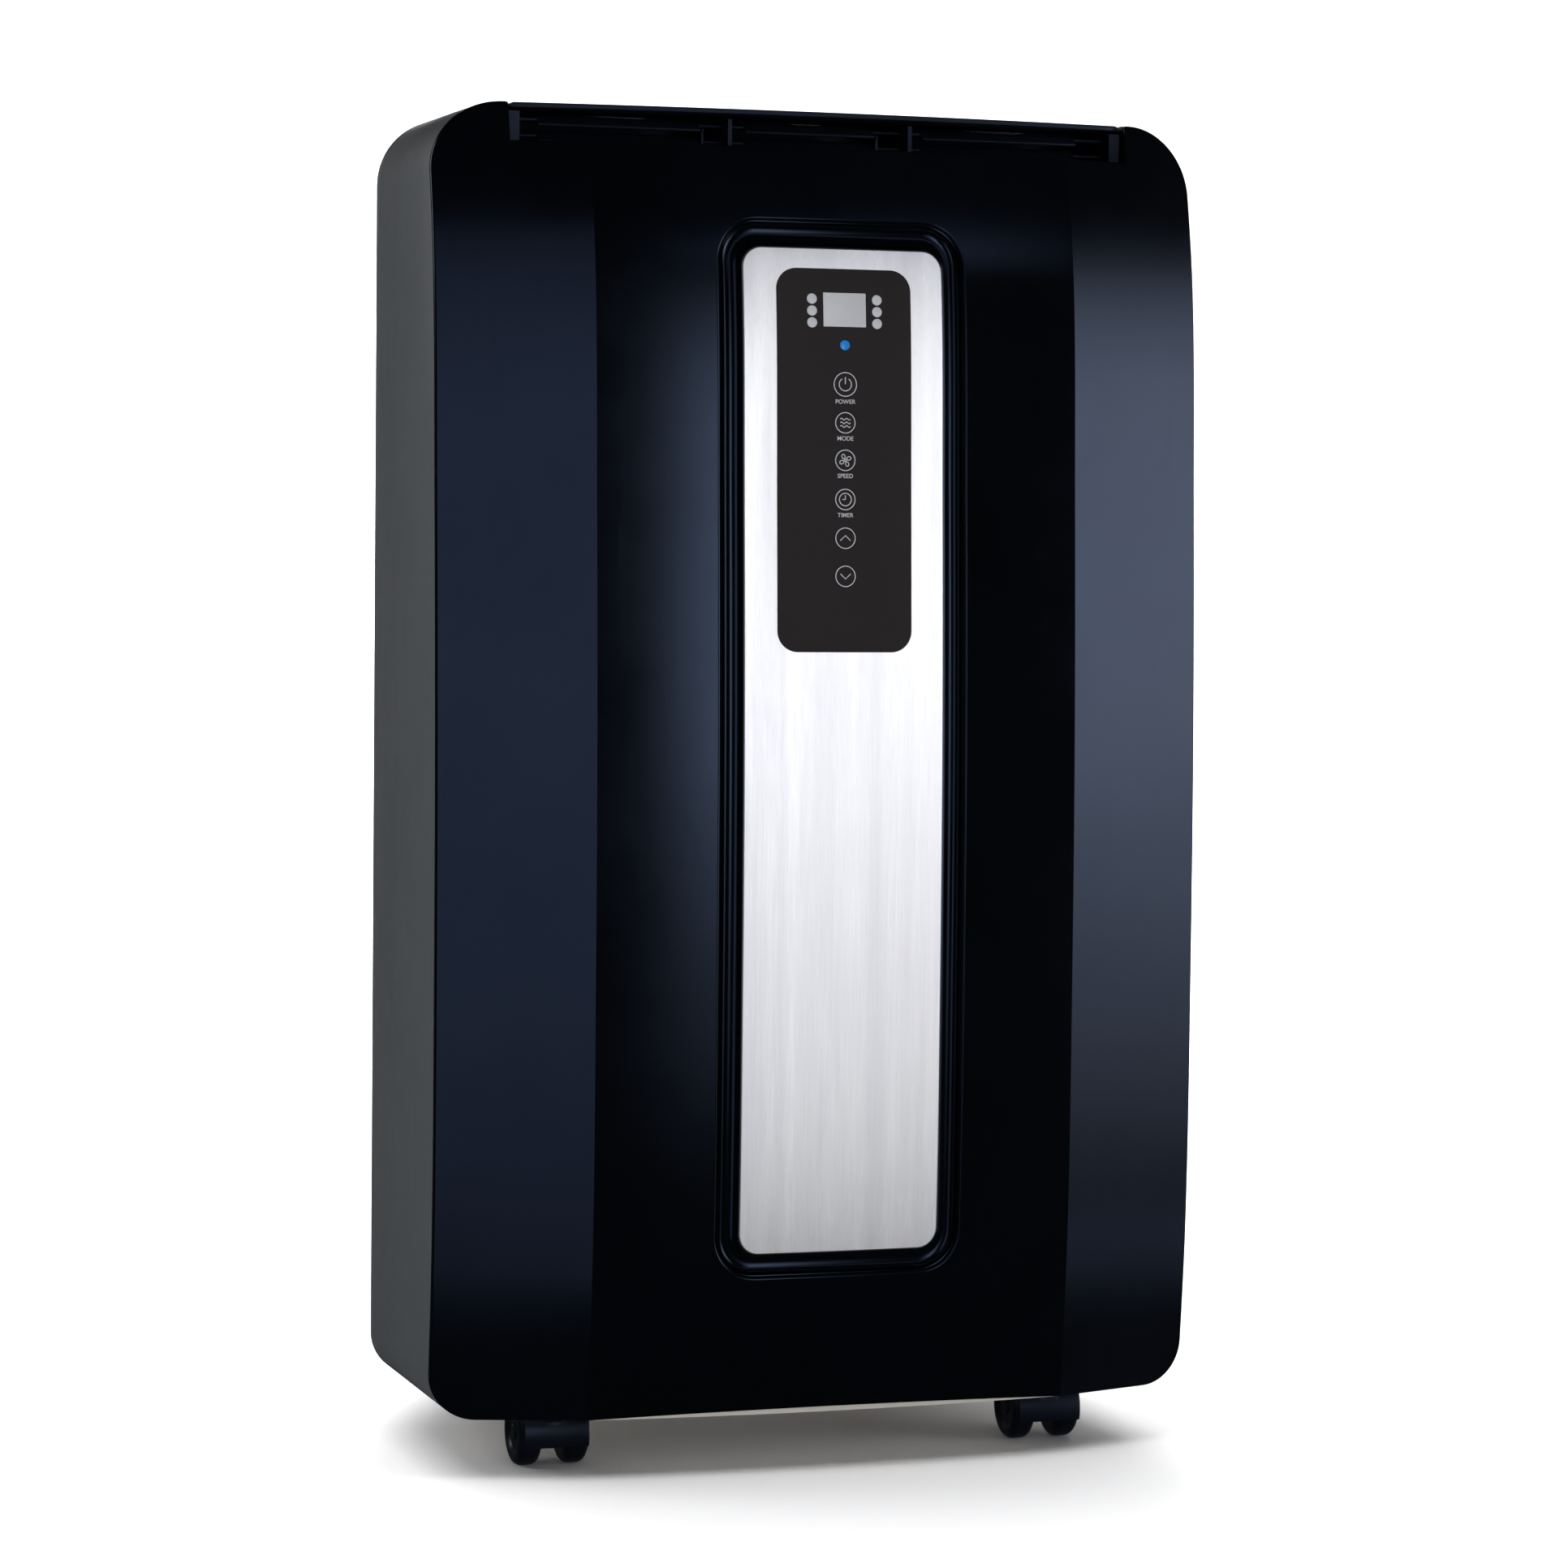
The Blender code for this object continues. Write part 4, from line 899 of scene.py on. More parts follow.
@dataclass(frozen=True)
class FrontCurve:
    """The front surface: crowned between two creases, falling back in flat bands beside them."""

    step_x: float = 0.1456
    fall: float = tan(radians(17.1))
    crown: float = 0.0085
    crease_y: float = -0.1765
    camber: tuple[tuple[float, float], ...] = (
        (0.0356, 0.0105), (0.126, 0.0025), (0.262, 0.0), (0.413, 0.0010), (0.564, 0.0060),
        (0.699, 0.0135), (0.790, 0.0313))

    def lean(self, z: float) -> float:
        """How far the front stands behind its foremost line at a height.

        Args:
            z: the height.

        Returns:
            The distance back, on a smooth curve through the camber's points.
        """
        knots = self.camber
        last = len(knots) - 1
        z = min(max(z, knots[0][0]), knots[-1][0])
        index = max(i for i in range(last) if knots[i][0] <= z)
        span = knots[index + 1][0] - knots[index][0]
        t = (z - knots[index][0]) / span
        return (knots[index][1] * (2 * t ** 3 - 3 * t ** 2 + 1)
                + knots[index + 1][1] * (3 * t ** 2 - 2 * t ** 3)
                + self._slope(index) * span * (t ** 3 - 2 * t ** 2 + t)
                + self._slope(index + 1) * span * (t ** 3 - t ** 2))

    def _slope(self, index: int) -> float:
        """The camber curve's slope at one of its points.

        Args:
            index: the point's number.

        Returns:
            The slope, as y over z.
        """
        def rise(i: int) -> float:
            """The slope of the straight line from point i to the next."""
            return ((self.camber[i + 1][1] - self.camber[i][1])
                    / (self.camber[i + 1][0] - self.camber[i][0]))

        last = len(self.camber) - 1
        if index in (0, last):
            return rise(min(index, last - 1))
        before = rise(index - 1)
        after = rise(index)
        return 0.0 if before * after <= 0 else (before + after) / 2

    def y(self, x: float, z: float) -> float:
        """The surface's y at a place.

        Args:
            x: place across.
            z: height.

        Returns:
            The y there.
        """
        side = abs(x)
        if side <= self.step_x:
            return self.crease_y + self.lean(z) - self.crown * (1 - (side / self.step_x) ** 2)
        return self.crease_y + self.lean(z) + (side - self.step_x) * self.fall

    def normal(self, x: float, z: float, in_band: bool) -> Vector:
        """The surface's outward normal.

        Args:
            x: place across.
            z: height.
            in_band: whether to take the side band's slope and not the crown's.

        Returns:
            The unit normal, facing the front.
        """
        sign = 1.0 if x >= 0 else -1.0
        across = sign * self.fall if in_band else 2 * self.crown * x / self.step_x ** 2
        reach = 0.5 * MM
        up = (self.lean(z + reach) - self.lean(z - reach)) / (2 * reach)
        return Vector((across, -1.0, up)).normalized()

    def lay(self, piece: Piece) -> Piece:
        """Move a flat-modelled piece's points back on to the front.

        Args:
            piece: the flat piece.

        Returns:
            The same piece.
        """
        for vertex in piece.data.vertices:
            vertex.co.y += self.y(vertex.co.x, vertex.co.z)
        return piece

    def true_normals(self, piece: Piece, offset: float = 0.0) -> Piece:
        """Give the outer skin the exact normals of the curve, so that reflections run clean.

        Args:
            piece: a piece laid on the front.
            offset: how far its skin stands behind the surface.

        Returns:
            The same piece.
        """
        mesh = piece.data
        corners = [Vector(corner.vector) for corner in mesh.corner_normals]
        for face in mesh.polygons:
            in_band = abs(face.center.x) > self.step_x
            for loop in face.loop_indices:
                place = mesh.vertices[mesh.loops[loop].vertex_index].co
                if abs(place.y - self.y(place.x, place.z) - offset) > TINY:
                    continue
                exact = self.normal(place.x, place.z, in_band)
                if exact.dot(face.normal) > cos(radians(50)):
                    corners[loop] = exact
        mesh.normals_split_custom_set(corners)
        return piece


def front_block(name: str, half_width: float, low: float, high: float, radius: float,
                front: float, back: float, segments: int = 12) -> Piece:
    """A round-cornered slab modelled flat, facing the front.

    Args:
        name: the object's name.
        half_width: half its width.
        low: its lowest height.
        high: its highest height.
        radius: its corners' radius.
        front: y of its front face, from the surface.
        back: y of its back face.
        segments: faces round each corner.

    Returns:
        The new object.
    """
    slab = block(name, (-half_width, front, low), (half_width, back, high))
    return round_edges(slab, runs_along_y, radius, segments)


def runs_along_y(edge: bmesh.types.BMEdge) -> bool:
    """Whether an edge runs front to back."""
    start, end = (vert.co for vert in edge.verts)
    return abs(start.y - end.y) > TINY and (start - end).xz.length < TINY


def on_front_rim(level: float) -> EdgeTest:
    """A test for the sharp edges round a slab's front face, at a y."""
    return lambda edge: is_sharp(edge) and all(abs(v.co.y - level) < TINY for v in edge.verts)


def rows_between(low: float, high: float, pitch: float) -> list[tuple[float, float, float]]:
    """Places for level cuts between two heights, about a pitch apart."""
    count = max(1, round((high - low) / pitch))
    return [(0.0, 0.0, low + (high - low) * step / count) for step in range(1, count)]


# --- Front moulding, fascia and controls ---


@dataclass
class FrontMoulding:
    """The black front: a thin crowned shell with a moulded groove round the fascia."""

    curve: FrontCurve
    wall: float = 0.0010
    depth: float = 0.0028
    top_radius: float = 0.040
    bottom_radius: float = 0.026
    edge_radius: float = 0.0010
    notch_half: float = 0.1888
    notch_height: float = 0.7675
    arch: float = 0.003
    recess_half: float = 0.0737
    recess_low: float = 0.1175
    recess_high: float = 0.7245
    recess_radius: float = 0.0235
    rim: float = 0.0022
    groove_depth: float = 0.0072
    groove_width: float = 0.0150
    seat_depth: float = 0.0023
    column: float = 0.0104
    row: float = 0.0090

    def _is_in_window(self, place: Vector) -> bool:
        """Whether a place lies inside the recess's outline box."""
        reach = self.rim + MM
        return (abs(place.x) < self.recess_half + reach
                and self.recess_low - reach < place.z < self.recess_high + reach)

    def _sheet(self) -> Piece:
        """The flat front sheet with its window, its notch and its rounded outer rim.

        Returns:
            The open sheet, still flat.
        """
        low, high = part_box("front_panel")
        half = high.x
        sheet = block("front_moulding", (-half, 0.0, low.z), (half, self.depth, high.z))
        middle = (low.z + high.z) / 2
        round_edges(sheet, lambda edge: runs_along_y(edge) and edge.verts[0].co.z > middle,
                    self.top_radius, 18)
        round_edges(sheet, lambda edge: runs_along_y(edge) and edge.verts[0].co.z < self.bottom_radius / 2
                    + low.z and abs(edge.verts[0].co.x) > half - TINY, self.bottom_radius, 14)
        notch = block("notch", (-self.notch_half, -0.01, self.notch_height),
                      (self.notch_half, 0.02, high.z + 0.02))
        carve(sheet, notch)
        round_edges(sheet, lambda edge: runs_along_y(edge) and edge.verts[0].co.z > high.z - TINY
                    and abs(abs(edge.verts[0].co.x) - self.notch_half) < TINY, 0.0016, 3)
        window = front_block("window", self.recess_half + self.rim, self.recess_low - self.rim,
                             self.recess_high + self.rim, self.recess_radius + self.rim, -0.01, 0.02, 14)
        carve(sheet, window)
        rim = on_front_rim(0.0)
        round_edges(sheet, lambda edge: rim(edge) and not self._is_in_window(edge.verts[0].co),
                    self.edge_radius, 3)
        with editing(sheet):
            select_faces(sheet, lambda place, normal: normal.y > 0.9)
            bpy.ops.mesh.delete(type="FACE")
            select_faces(sheet, lambda place, normal: abs(normal.y) < 0.5 and self._is_in_window(place))
            bpy.ops.mesh.delete(type="FACE")
        return sheet

    def _groove_profile(self) -> list[tuple[float, float]]:
        """(inset, depth) from the window's edge: rounded lip, hollow half-round groove, seat.

        Returns:
            The profile's points, in order.
        """
        lip = [(self.rim * sin(a), self.rim * (1 - cos(a))) for a in
               (radians(15 * step) for step in range(1, 7))]
        start = self.rim + 0.4 * MM
        reach = (self.rim + self.groove_width - start) / 2
        fall = self.groove_depth - self.seat_depth
        hollow = [(start + reach * (1 - cos(a)), self.seat_depth + fall * sin(a))
                  for a in (radians(15 * step) for step in range(13))]
        return lip + hollow

    def _tray(self) -> Piece:
        """The groove and the seat behind the fascia, inset step by step from the window.

        Returns:
            The open tray, still flat.
        """
        tray = front_block("tray", self.recess_half + self.rim, self.recess_low - self.rim,
                           self.recess_high + self.rim, self.recess_radius + self.rim, 0.0, 0.01, 14)
        with editing(tray):
            select_faces(tray, lambda place, normal: place.y > TINY)
            bpy.ops.mesh.delete(type="FACE")
            select_faces(tray, lambda place, normal: True)
            inset, depth = 0.0, 0.0
            for to_inset, to_depth in self._groove_profile():
                bpy.ops.mesh.inset(thickness=to_inset - inset, depth=depth - to_depth,
                                   use_boundary=True, use_even_offset=True)
                inset, depth = to_inset, to_depth
        return tray

    def build(self) -> None:
        """Join sheet and tray, cut them into rows and columns, lay them on the curve."""
        panel = join("front_moulding", [self._sheet(), self._tray()])
        with editing(panel):
            bpy.ops.mesh.remove_doubles(threshold=TINY)
        low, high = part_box("front_panel")
        count = int(self.curve.step_x / self.column)
        columns = [(sign * self.curve.step_x * step / count, 0.0, 0.0)
                   for sign in (-1, 1) for step in range(1, count + 1)]
        slice_across(panel, [(0.0, 0.0, 0.0), *columns], Vector((1, 0, 0)))
        slice_across(panel, rows_between(low.z + 0.006, high.z - 0.004, self.row), Vector((0, 0, 1)))
        for vertex in panel.data.vertices:
            side = abs(vertex.co.x) / self.curve.step_x
            if vertex.co.z < low.z + 0.005 and side < 1:
                vertex.co.z += self.arch * (1 - side ** 2)
        self.curve.lay(panel)
        wall = panel.modifiers.new("wall", "SOLIDIFY")
        wall.thickness = self.wall
        wall.offset = -1.0
        apply_modifier(panel, wall)
        shade(panel, radians(40))
        self.curve.true_normals(panel)
        finish_piece(panel, "cabinet", GLOSS_BLACK, "front_panel")


@dataclass
class Fascia:
    """The brushed plate that floats in the groove, with its window for the controls."""

    curve: FrontCurve
    half: float = 0.0607
    low: float = 0.1300
    high: float = 0.7100
    radius: float = 0.012
    thick: float = 0.0015
    edge_radius: float = 0.0011

    def build(self, window: "ControlPanel") -> None:
        """Make the plate and its grain map.

        Args:
            window: the control panel that the plate is cut for.
        """
        plate = front_block("fascia_sheet", self.half, self.low, self.high, self.radius, 0.0,
                            self.thick)
        round_edges(plate, on_front_rim(0.0), self.edge_radius, 5)
        gap = 0.3 * MM
        carve(plate, front_block("hole", window.half + gap, window.low - gap, window.high + gap,
                                 window.radius + gap, -0.01, 0.02))
        slice_across(plate, rows_between(self.low, self.high, 0.010), Vector((0, 0, 1)))
        slice_across(plate, [(self.half * step / 6, 0.0, 0.0) for step in range(-5, 6)],
                     Vector((1, 0, 0)))
        self.curve.lay(plate)
        shade(plate, radians(50))
        self.curve.true_normals(plate)
        grain = plate.data.uv_layers.new(name="grain")
        for loop in plate.data.loops:
            place = plate.data.vertices[loop.vertex_index].co
            grain.data[loop.index].uv = (place.x, place.z)
        finish_piece(plate, "cabinet", BRUSHED_ALUMINIUM, "fascia_plate")


@dataclass
class Key:
    """One touch key: its name, height, the radius of its cap and its legend."""

    name: str
    height: float
    radius: float
    label: str = ""


@dataclass
class ControlPanel:
    """The black overlay with its display, pips, receiver lens, six keys and their legends."""

    curve: FrontCurve
    half: float = 0.0405
    low: float = 0.4780
    high: float = 0.6975
    radius: float = 0.012
    proud: float = 0.0008
    thick: float = 0.0016
    gap: float = 0.00018
    display_half: float = 0.0129
    display_low: float = 0.6645
    display_high: float = 0.6840
    pip_radius: float = 0.0030
    pip_x: float = 0.0197
    pip_heights: tuple[float, ...] = (0.6803, 0.6735, 0.6667)
    status_height: float = 0.6540
    line: float = 0.00058
    print_height: float = 0.00007
    letter_height: float = 0.0035
    lens_back: float = 0.0012
    keys: tuple[Key, ...] = (
        Key("power", 0.6315, 0.0074, "POWER"), Key("mode", 0.6095, 0.0065, "MODE"),
        Key("speed", 0.5880, 0.0065, "SPEED"), Key("timer", 0.5655, 0.0065, "TIMER"),
        Key("up", 0.5433, 0.0065), Key("down", 0.5214, 0.0065))

    def _disc(self, name: str, x: float, z: float, radius: float, front: float, back: float,
              steps: int = 40) -> Piece:
        """A flat disc facing the front, between two depths."""
        return rod(name, (x, front, z), (x, back, z), radius, steps)

    def _overlay(self) -> None:
        """The overlay plate, with a hole for each key, pip and lens."""
        plate = front_block("control_overlay", self.half, self.low, self.high, self.radius,
                            -self.proud, self.thick)
        round_edges(plate, on_front_rim(-self.proud), 0.35 * MM, 3)
        for key in self.keys:
            carve(plate, self._disc("hole", 0.0, key.height, key.radius + self.gap, -0.01, 0.01))
        for x, z in self._pips():
            carve(plate, self._disc("hole", x, z, self.pip_radius + self.gap, -0.01, 0.01, 24))
        carve(plate, self._disc("hole", 0.0, self.status_height, self.pip_radius + self.gap,
                                -0.01, 0.01, 24))
        reach = self.display_half + self.gap
        carve(plate, block("hole", (-reach, -0.01, self.display_low - self.gap),
                           (reach, 0.01, self.display_high + self.gap)))
        slice_across(plate, rows_between(self.low, self.high, 0.012), Vector((0, 0, 1)))
        self.curve.lay(plate)
        shade(plate)
        finish_piece(plate, "cabinet", OVERLAY_BLACK, "control_panel")

    def _pips(self) -> list[tuple[float, float]]:
        """Where the six indicator pips sit."""
        return [(sign * self.pip_x, z) for sign in (-1, 1) for z in self.pip_heights]

    def _lenses(self) -> None:
        """Display window, indicator pips and the blue receiver lens."""
        face = -self.proud
        window = block("display_lens", (-self.display_half, face, self.display_low),
                       (self.display_half, self.lens_back, self.display_high))
        round_edges(window, runs_along_y, 0.35 * MM, 3)
        soften(window, 0.15 * MM)
        finish_piece(shade(self.curve.lay(window)), "cabinet", LENS_GREY, "display_window")
        for side in Side:
            pips = []
            for x, z in self._pips():
                if x * side.value > 0:
                    pips.append(soften(self._disc("pip", x, z, self.pip_radius, face,
                                                  self.lens_back, 28), 0.2 * MM))
            strip = join("indicator_pips_" + side.label, pips)
            finish_piece(shade(self.curve.lay(strip)), "cabinet", LENS_GREY,
                         "indicator_" + side.label)
        status = soften(self._disc("receiver_lens", 0.0, self.status_height, self.pip_radius,
                                   face, self.lens_back, 28), 0.35 * MM, 3)
        finish_piece(shade(self.curve.lay(status)), "cabinet", LENS_BLUE, "status_lens")

    def _stroke(self, points: Sequence[tuple[float, float]], closed: bool = False) -> Piece:
        """A printed line through points, raised by the ink's thickness.

        Args:
            points: (x, z) places on the overlay.
            closed: whether the line joins its own start.

        Returns:
            The line as a mesh, still flat.
        """
        curve = bpy.data.curves.new("stroke", "CURVE")
        curve.dimensions = "3D"
        curve.bevel_depth = self.line / 2
        curve.bevel_resolution = 1
        curve.use_fill_caps = True
        spline = curve.splines.new("POLY")
        spline.points.add(len(points) - 1)
        for point, (x, z) in zip(spline.points, points):
            point.co = (x, 0.0, z, 1.0)
        spline.use_cyclic_u = closed
        item = bpy.data.objects.new("stroke", curve)
        bpy.context.scene.collection.objects.link(item)
        activate(item)
        bpy.ops.object.convert(target="MESH")
        item = bpy.context.object
        flatten = self.print_height / self.line
        for vertex in item.data.vertices:
            vertex.co.y = vertex.co.y * flatten - self.proud
        return item

    def _ring(self, z: float, radius: float, start: float = 0.0, sweep: float = 360.0,
              x: float = 0.0) -> Piece:
        """A printed circle or arc; angles run clockwise from the top, in degrees.

        Args:
            z: the centre's height.
            radius: the line's radius.
            start: where the arc starts.
            sweep: how far it runs.
            x: the centre's place across.

        Returns:
            The line as a mesh, still flat.
        """
        steps = max(12, int(sweep / 9))
        closed = sweep >= 360.0
        angles = [radians(start + sweep * step / steps) for step in range(steps + (not closed))]
        return self._stroke([(x + radius * sin(a), z + radius * cos(a)) for a in angles], closed)

    def _legend(self, key: Key) -> list[Piece]:
        """The lines of a key's printed symbol.

        Args:
            key: the key that carries the symbol.

        Returns:
            The lines, still flat.
        """
        z = key.height
        outer = key.radius - 0.6 * MM
        lines = [self._ring(z, outer)]
        if key.name == "power":
            lines += [self._ring(z, 0.0037, 32, 296), self._stroke([(0, z + 0.0042), (0, z + 0.0002)])]
        elif key.name == "mode":
            for rise in (-0.0021, 0.0, 0.0021):
                wave = [(0.00062 * step - 0.0031, z + rise + 0.00055 * sin(step * pi / 2.5))
                        for step in range(11)]
                lines.append(self._stroke(wave))
        elif key.name == "speed":
            for turn in range(4):
                spin = radians(90 * turn + 20)
                petal = [(0.0024 + 0.0013 * cos(a), 0.0010 * sin(a) + 0.0003) for a in
                         (radians(30 * step) for step in range(12))]
                lines.append(self._stroke([(r * cos(spin) - s * sin(spin),
                                            z + r * sin(spin) + s * cos(spin)) for r, s in petal], True))
            lines.append(self._ring(z, 0.0006))
        elif key.name == "timer":
            lines += [self._ring(z, 0.0036), self._stroke([(0, z + 0.0024), (0, z), (-0.0018, z)])]
        else:
            way = 1 if key.name == "up" else -1
            lines.append(self._stroke([(-0.0031, z - way * 0.0014), (0, z + way * 0.0015),
                                       (0.0031, z - way * 0.0014)]))
        return lines

    def _keys(self) -> None:
        """The key caps, flush in the overlay, with their symbols riding on them."""
        for key in self.keys:
            body = "key_" + key.name
            cap = soften(self._disc("touch_" + key.name, 0.0, key.height, key.radius, -self.proud,
                                    0.0010), 0.10 * MM)
            finish_piece(shade(self.curve.lay(cap)), body, OVERLAY_BLACK, body)
            legend = join("legend_" + key.name, self._legend(key))
            finish_piece(shade(self.curve.lay(legend)), body, LEGEND_INK)

    def _labels(self) -> None:
        """The small words printed under the first four keys."""
        for key in self.keys:
            if not key.label:
                continue
            bpy.ops.object.select_all(action="DESELECT")
            bpy.ops.object.text_add(location=(0.0, -self.proud, key.height - key.radius - 0.0026),
                                    rotation=(pi / 2, 0.0, 0.0))
            words = bpy.context.object
            words.data.body = key.label
            words.data.size = self.letter_height
            words.data.align_x = "CENTER"
            words.data.align_y = "CENTER"
            words.data.extrude = self.print_height / 2
            words.data.offset = 0.00002
            words.name = "label_" + key.name
            bpy.ops.object.convert(target="MESH")
            bpy.ops.object.transform_apply(location=True, rotation=True, scale=True)
            finish_piece(self.curve.lay(bpy.context.object), "cabinet", LEGEND_INK)

    def build(self) -> None:
        """Make the overlay and all that is on it."""
        self._overlay()
        self._lenses()
        self._keys()
        self._labels()


# --- Air outlet ---


@dataclass
class AirOutlet:
    """Lid, louvre blades with their links, deck, and the frame that holds them."""

    lid_front: float = -0.1400
    lid_rear: float = -0.0440
    lid_thick: float = 0.0028
    hinge_y: float = -0.0450
    hinge_z: float = 0.7855
    barrel_half: float = 0.1830
    pin_half: float = 0.1866
    lid_sweep: float = 0.0125
    pivot_y: float = -0.1150
    heights: dict[str, float] = field(default_factory=lambda: {"upper": 0.7815, "lower": 0.7722})
    chord: float = 0.012
    blade_thick: float = 0.0021
    tilt: float = radians(35)
    bays: tuple[tuple[float, float, float, float], ...] = (
        (-0.1680, -0.0710, -0.1822, -0.0557), (-0.0435, 0.0360, -0.0549, 0.0549),
        (0.0660, 0.1630, 0.0557, 0.1822))

    def _lid(self) -> None:
        """The lid: a thin plate with a bowed front edge, end chamfers and a hinge barrel."""
        low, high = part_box("air_lid")
        plate = block("outlet_lid", (-high.x + 0.1 * MM, self.lid_front, high.z - self.lid_thick),
                      (high.x - 0.1 * MM, self.lid_rear, high.z))
        slice_across(plate, [(high.x * step / 12, 0.0, 0.0) for step in range(-11, 12)],
                     Vector((1, 0, 0)))
        for vertex in plate.data.vertices:
            if vertex.co.y < self.lid_front + TINY:
                vertex.co.y += self.lid_sweep * (vertex.co.x / high.x) ** 2
        round_edges(plate, lambda edge: is_sharp(edge) and all(abs(v.co.x) > high.x - MM
                    and v.co.z > high.z - TINY for v in edge.verts), 0.0016, 2)
        for side in Side:
            x = side.value * 0.1865
            carve(plate, block("notch", (x - 0.0032, -0.0490, 0.78), (x + 0.0032, -0.03, 0.80)))
        soften(plate, 0.35 * MM)
        barrel = soften(rod("barrel", (-self.barrel_half, self.hinge_y, self.hinge_z),
                            (self.barrel_half, self.hinge_y, self.hinge_z), 0.0024, 24), 0.3 * MM)
        pin = rod("pin", (-self.pin_half, self.hinge_y, self.hinge_z),
                  (self.pin_half, self.hinge_y, self.hinge_z), 0.0014, 16)
        lid = join("outlet_lid", [plate, barrel, pin])
        finish_piece(shade(lid), "air_lid", INNER_BLACK, "air_lid")

    def _blades(self) -> None:
        """The six louvre blades, each with a rounded nose, a thin tail and end pins."""
        for number, (start, end, pin_start, pin_end) in enumerate(self.bays, start=1):
            for level, height in self.heights.items():
                node = f"louvre_{number}_{level}"
                half = self.chord / 2
                blade = block("blade", (start, -half, -self.blade_thick / 2),
                              (end, half, self.blade_thick / 2))
                round_edges(blade, lambda edge: is_sharp(edge) and all(v.co.y < 0 for v in edge.verts)
                            and abs(edge.verts[0].co.x - edge.verts[1].co.x) > 0.01, 0.95 * MM, 4)
                slice_across(blade, [(0.0, 0.0, 0.0)], Vector((0, 1, 0)))
                for vertex in blade.data.vertices:
                    if vertex.co.y > half - TINY:
                        vertex.co.z *= 0.45
                soften(blade, 0.25 * MM)
                pin = rod("pin", (pin_start, 0, 0), (pin_end, 0, 0), 0.0012, 16)
                whole = join(f"air_blade_{number}_{level}", [blade, pin])
                whole.data.transform(Matrix.Translation((0.0, self.pivot_y, height))
                                     @ Matrix.Rotation(self.tilt, 4, "X"))
                finish_piece(shade(whole), node, INNER_BLACK, node)

    def _links(self) -> None:
        """The upright rods that tie the blades of a bay, with a round eye at each end."""
        for side in Side:
            node = "louvre_link_" + side.label
            low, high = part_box(node)
            middle = (low.y + high.y) / 2
            half = (high.y - low.y) / 2
            stem = soften(block("stem", (low.x, middle - 0.6 * half, low.z + half),
                                (high.x, middle + 0.6 * half, high.z - half)), 0.2 * MM)
            eyes = [soften(rod("eye", (low.x, middle, z), (high.x, middle, z), half, 20), 0.2 * MM)
                    for z in (low.z + half, high.z - half)]
            link = join("blade_link_" + side.label, [stem, *eyes])
            finish_piece(shade(link), node, INNER_BLACK, node)

    def _deck(self) -> None:
        """The level strip behind the lid, with a shallow rest pressed into it."""
        low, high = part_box("top_deck")
        deck = block("deck_strip", low, high)
        rest = block("rest", (-0.150, low.y + 0.008, high.z - 0.0012), (0.150, high.y - 0.006, 0.80))
        round_edges(rest, lambda edge: abs(edge.verts[0].co.z - edge.verts[1].co.z) > MM, 0.005, 6)
        carve(deck, rest)
        soften(deck, 0.4 * MM, 3)
        finish_piece(shade(deck), "cabinet", SATIN_GREY, "top_deck")

    def build(self, frame: dict) -> None:
        """Make the outlet's moving pieces, and dress the frame behind them.

        Args:
            frame: the loaded frame.
        """
        self._lid()
        self._blades()
        self._links()
        self._deck()
        dress_node(frame, "outlet_frame", INNER_BLACK)


# --- Side and rear shells ---


class Station(NamedTuple):
    """One section of the rear shell: its place, its extent and its corners."""

    y: float
    half: float
    low: float
    high: float
    low_radius: float
    high_radius: float


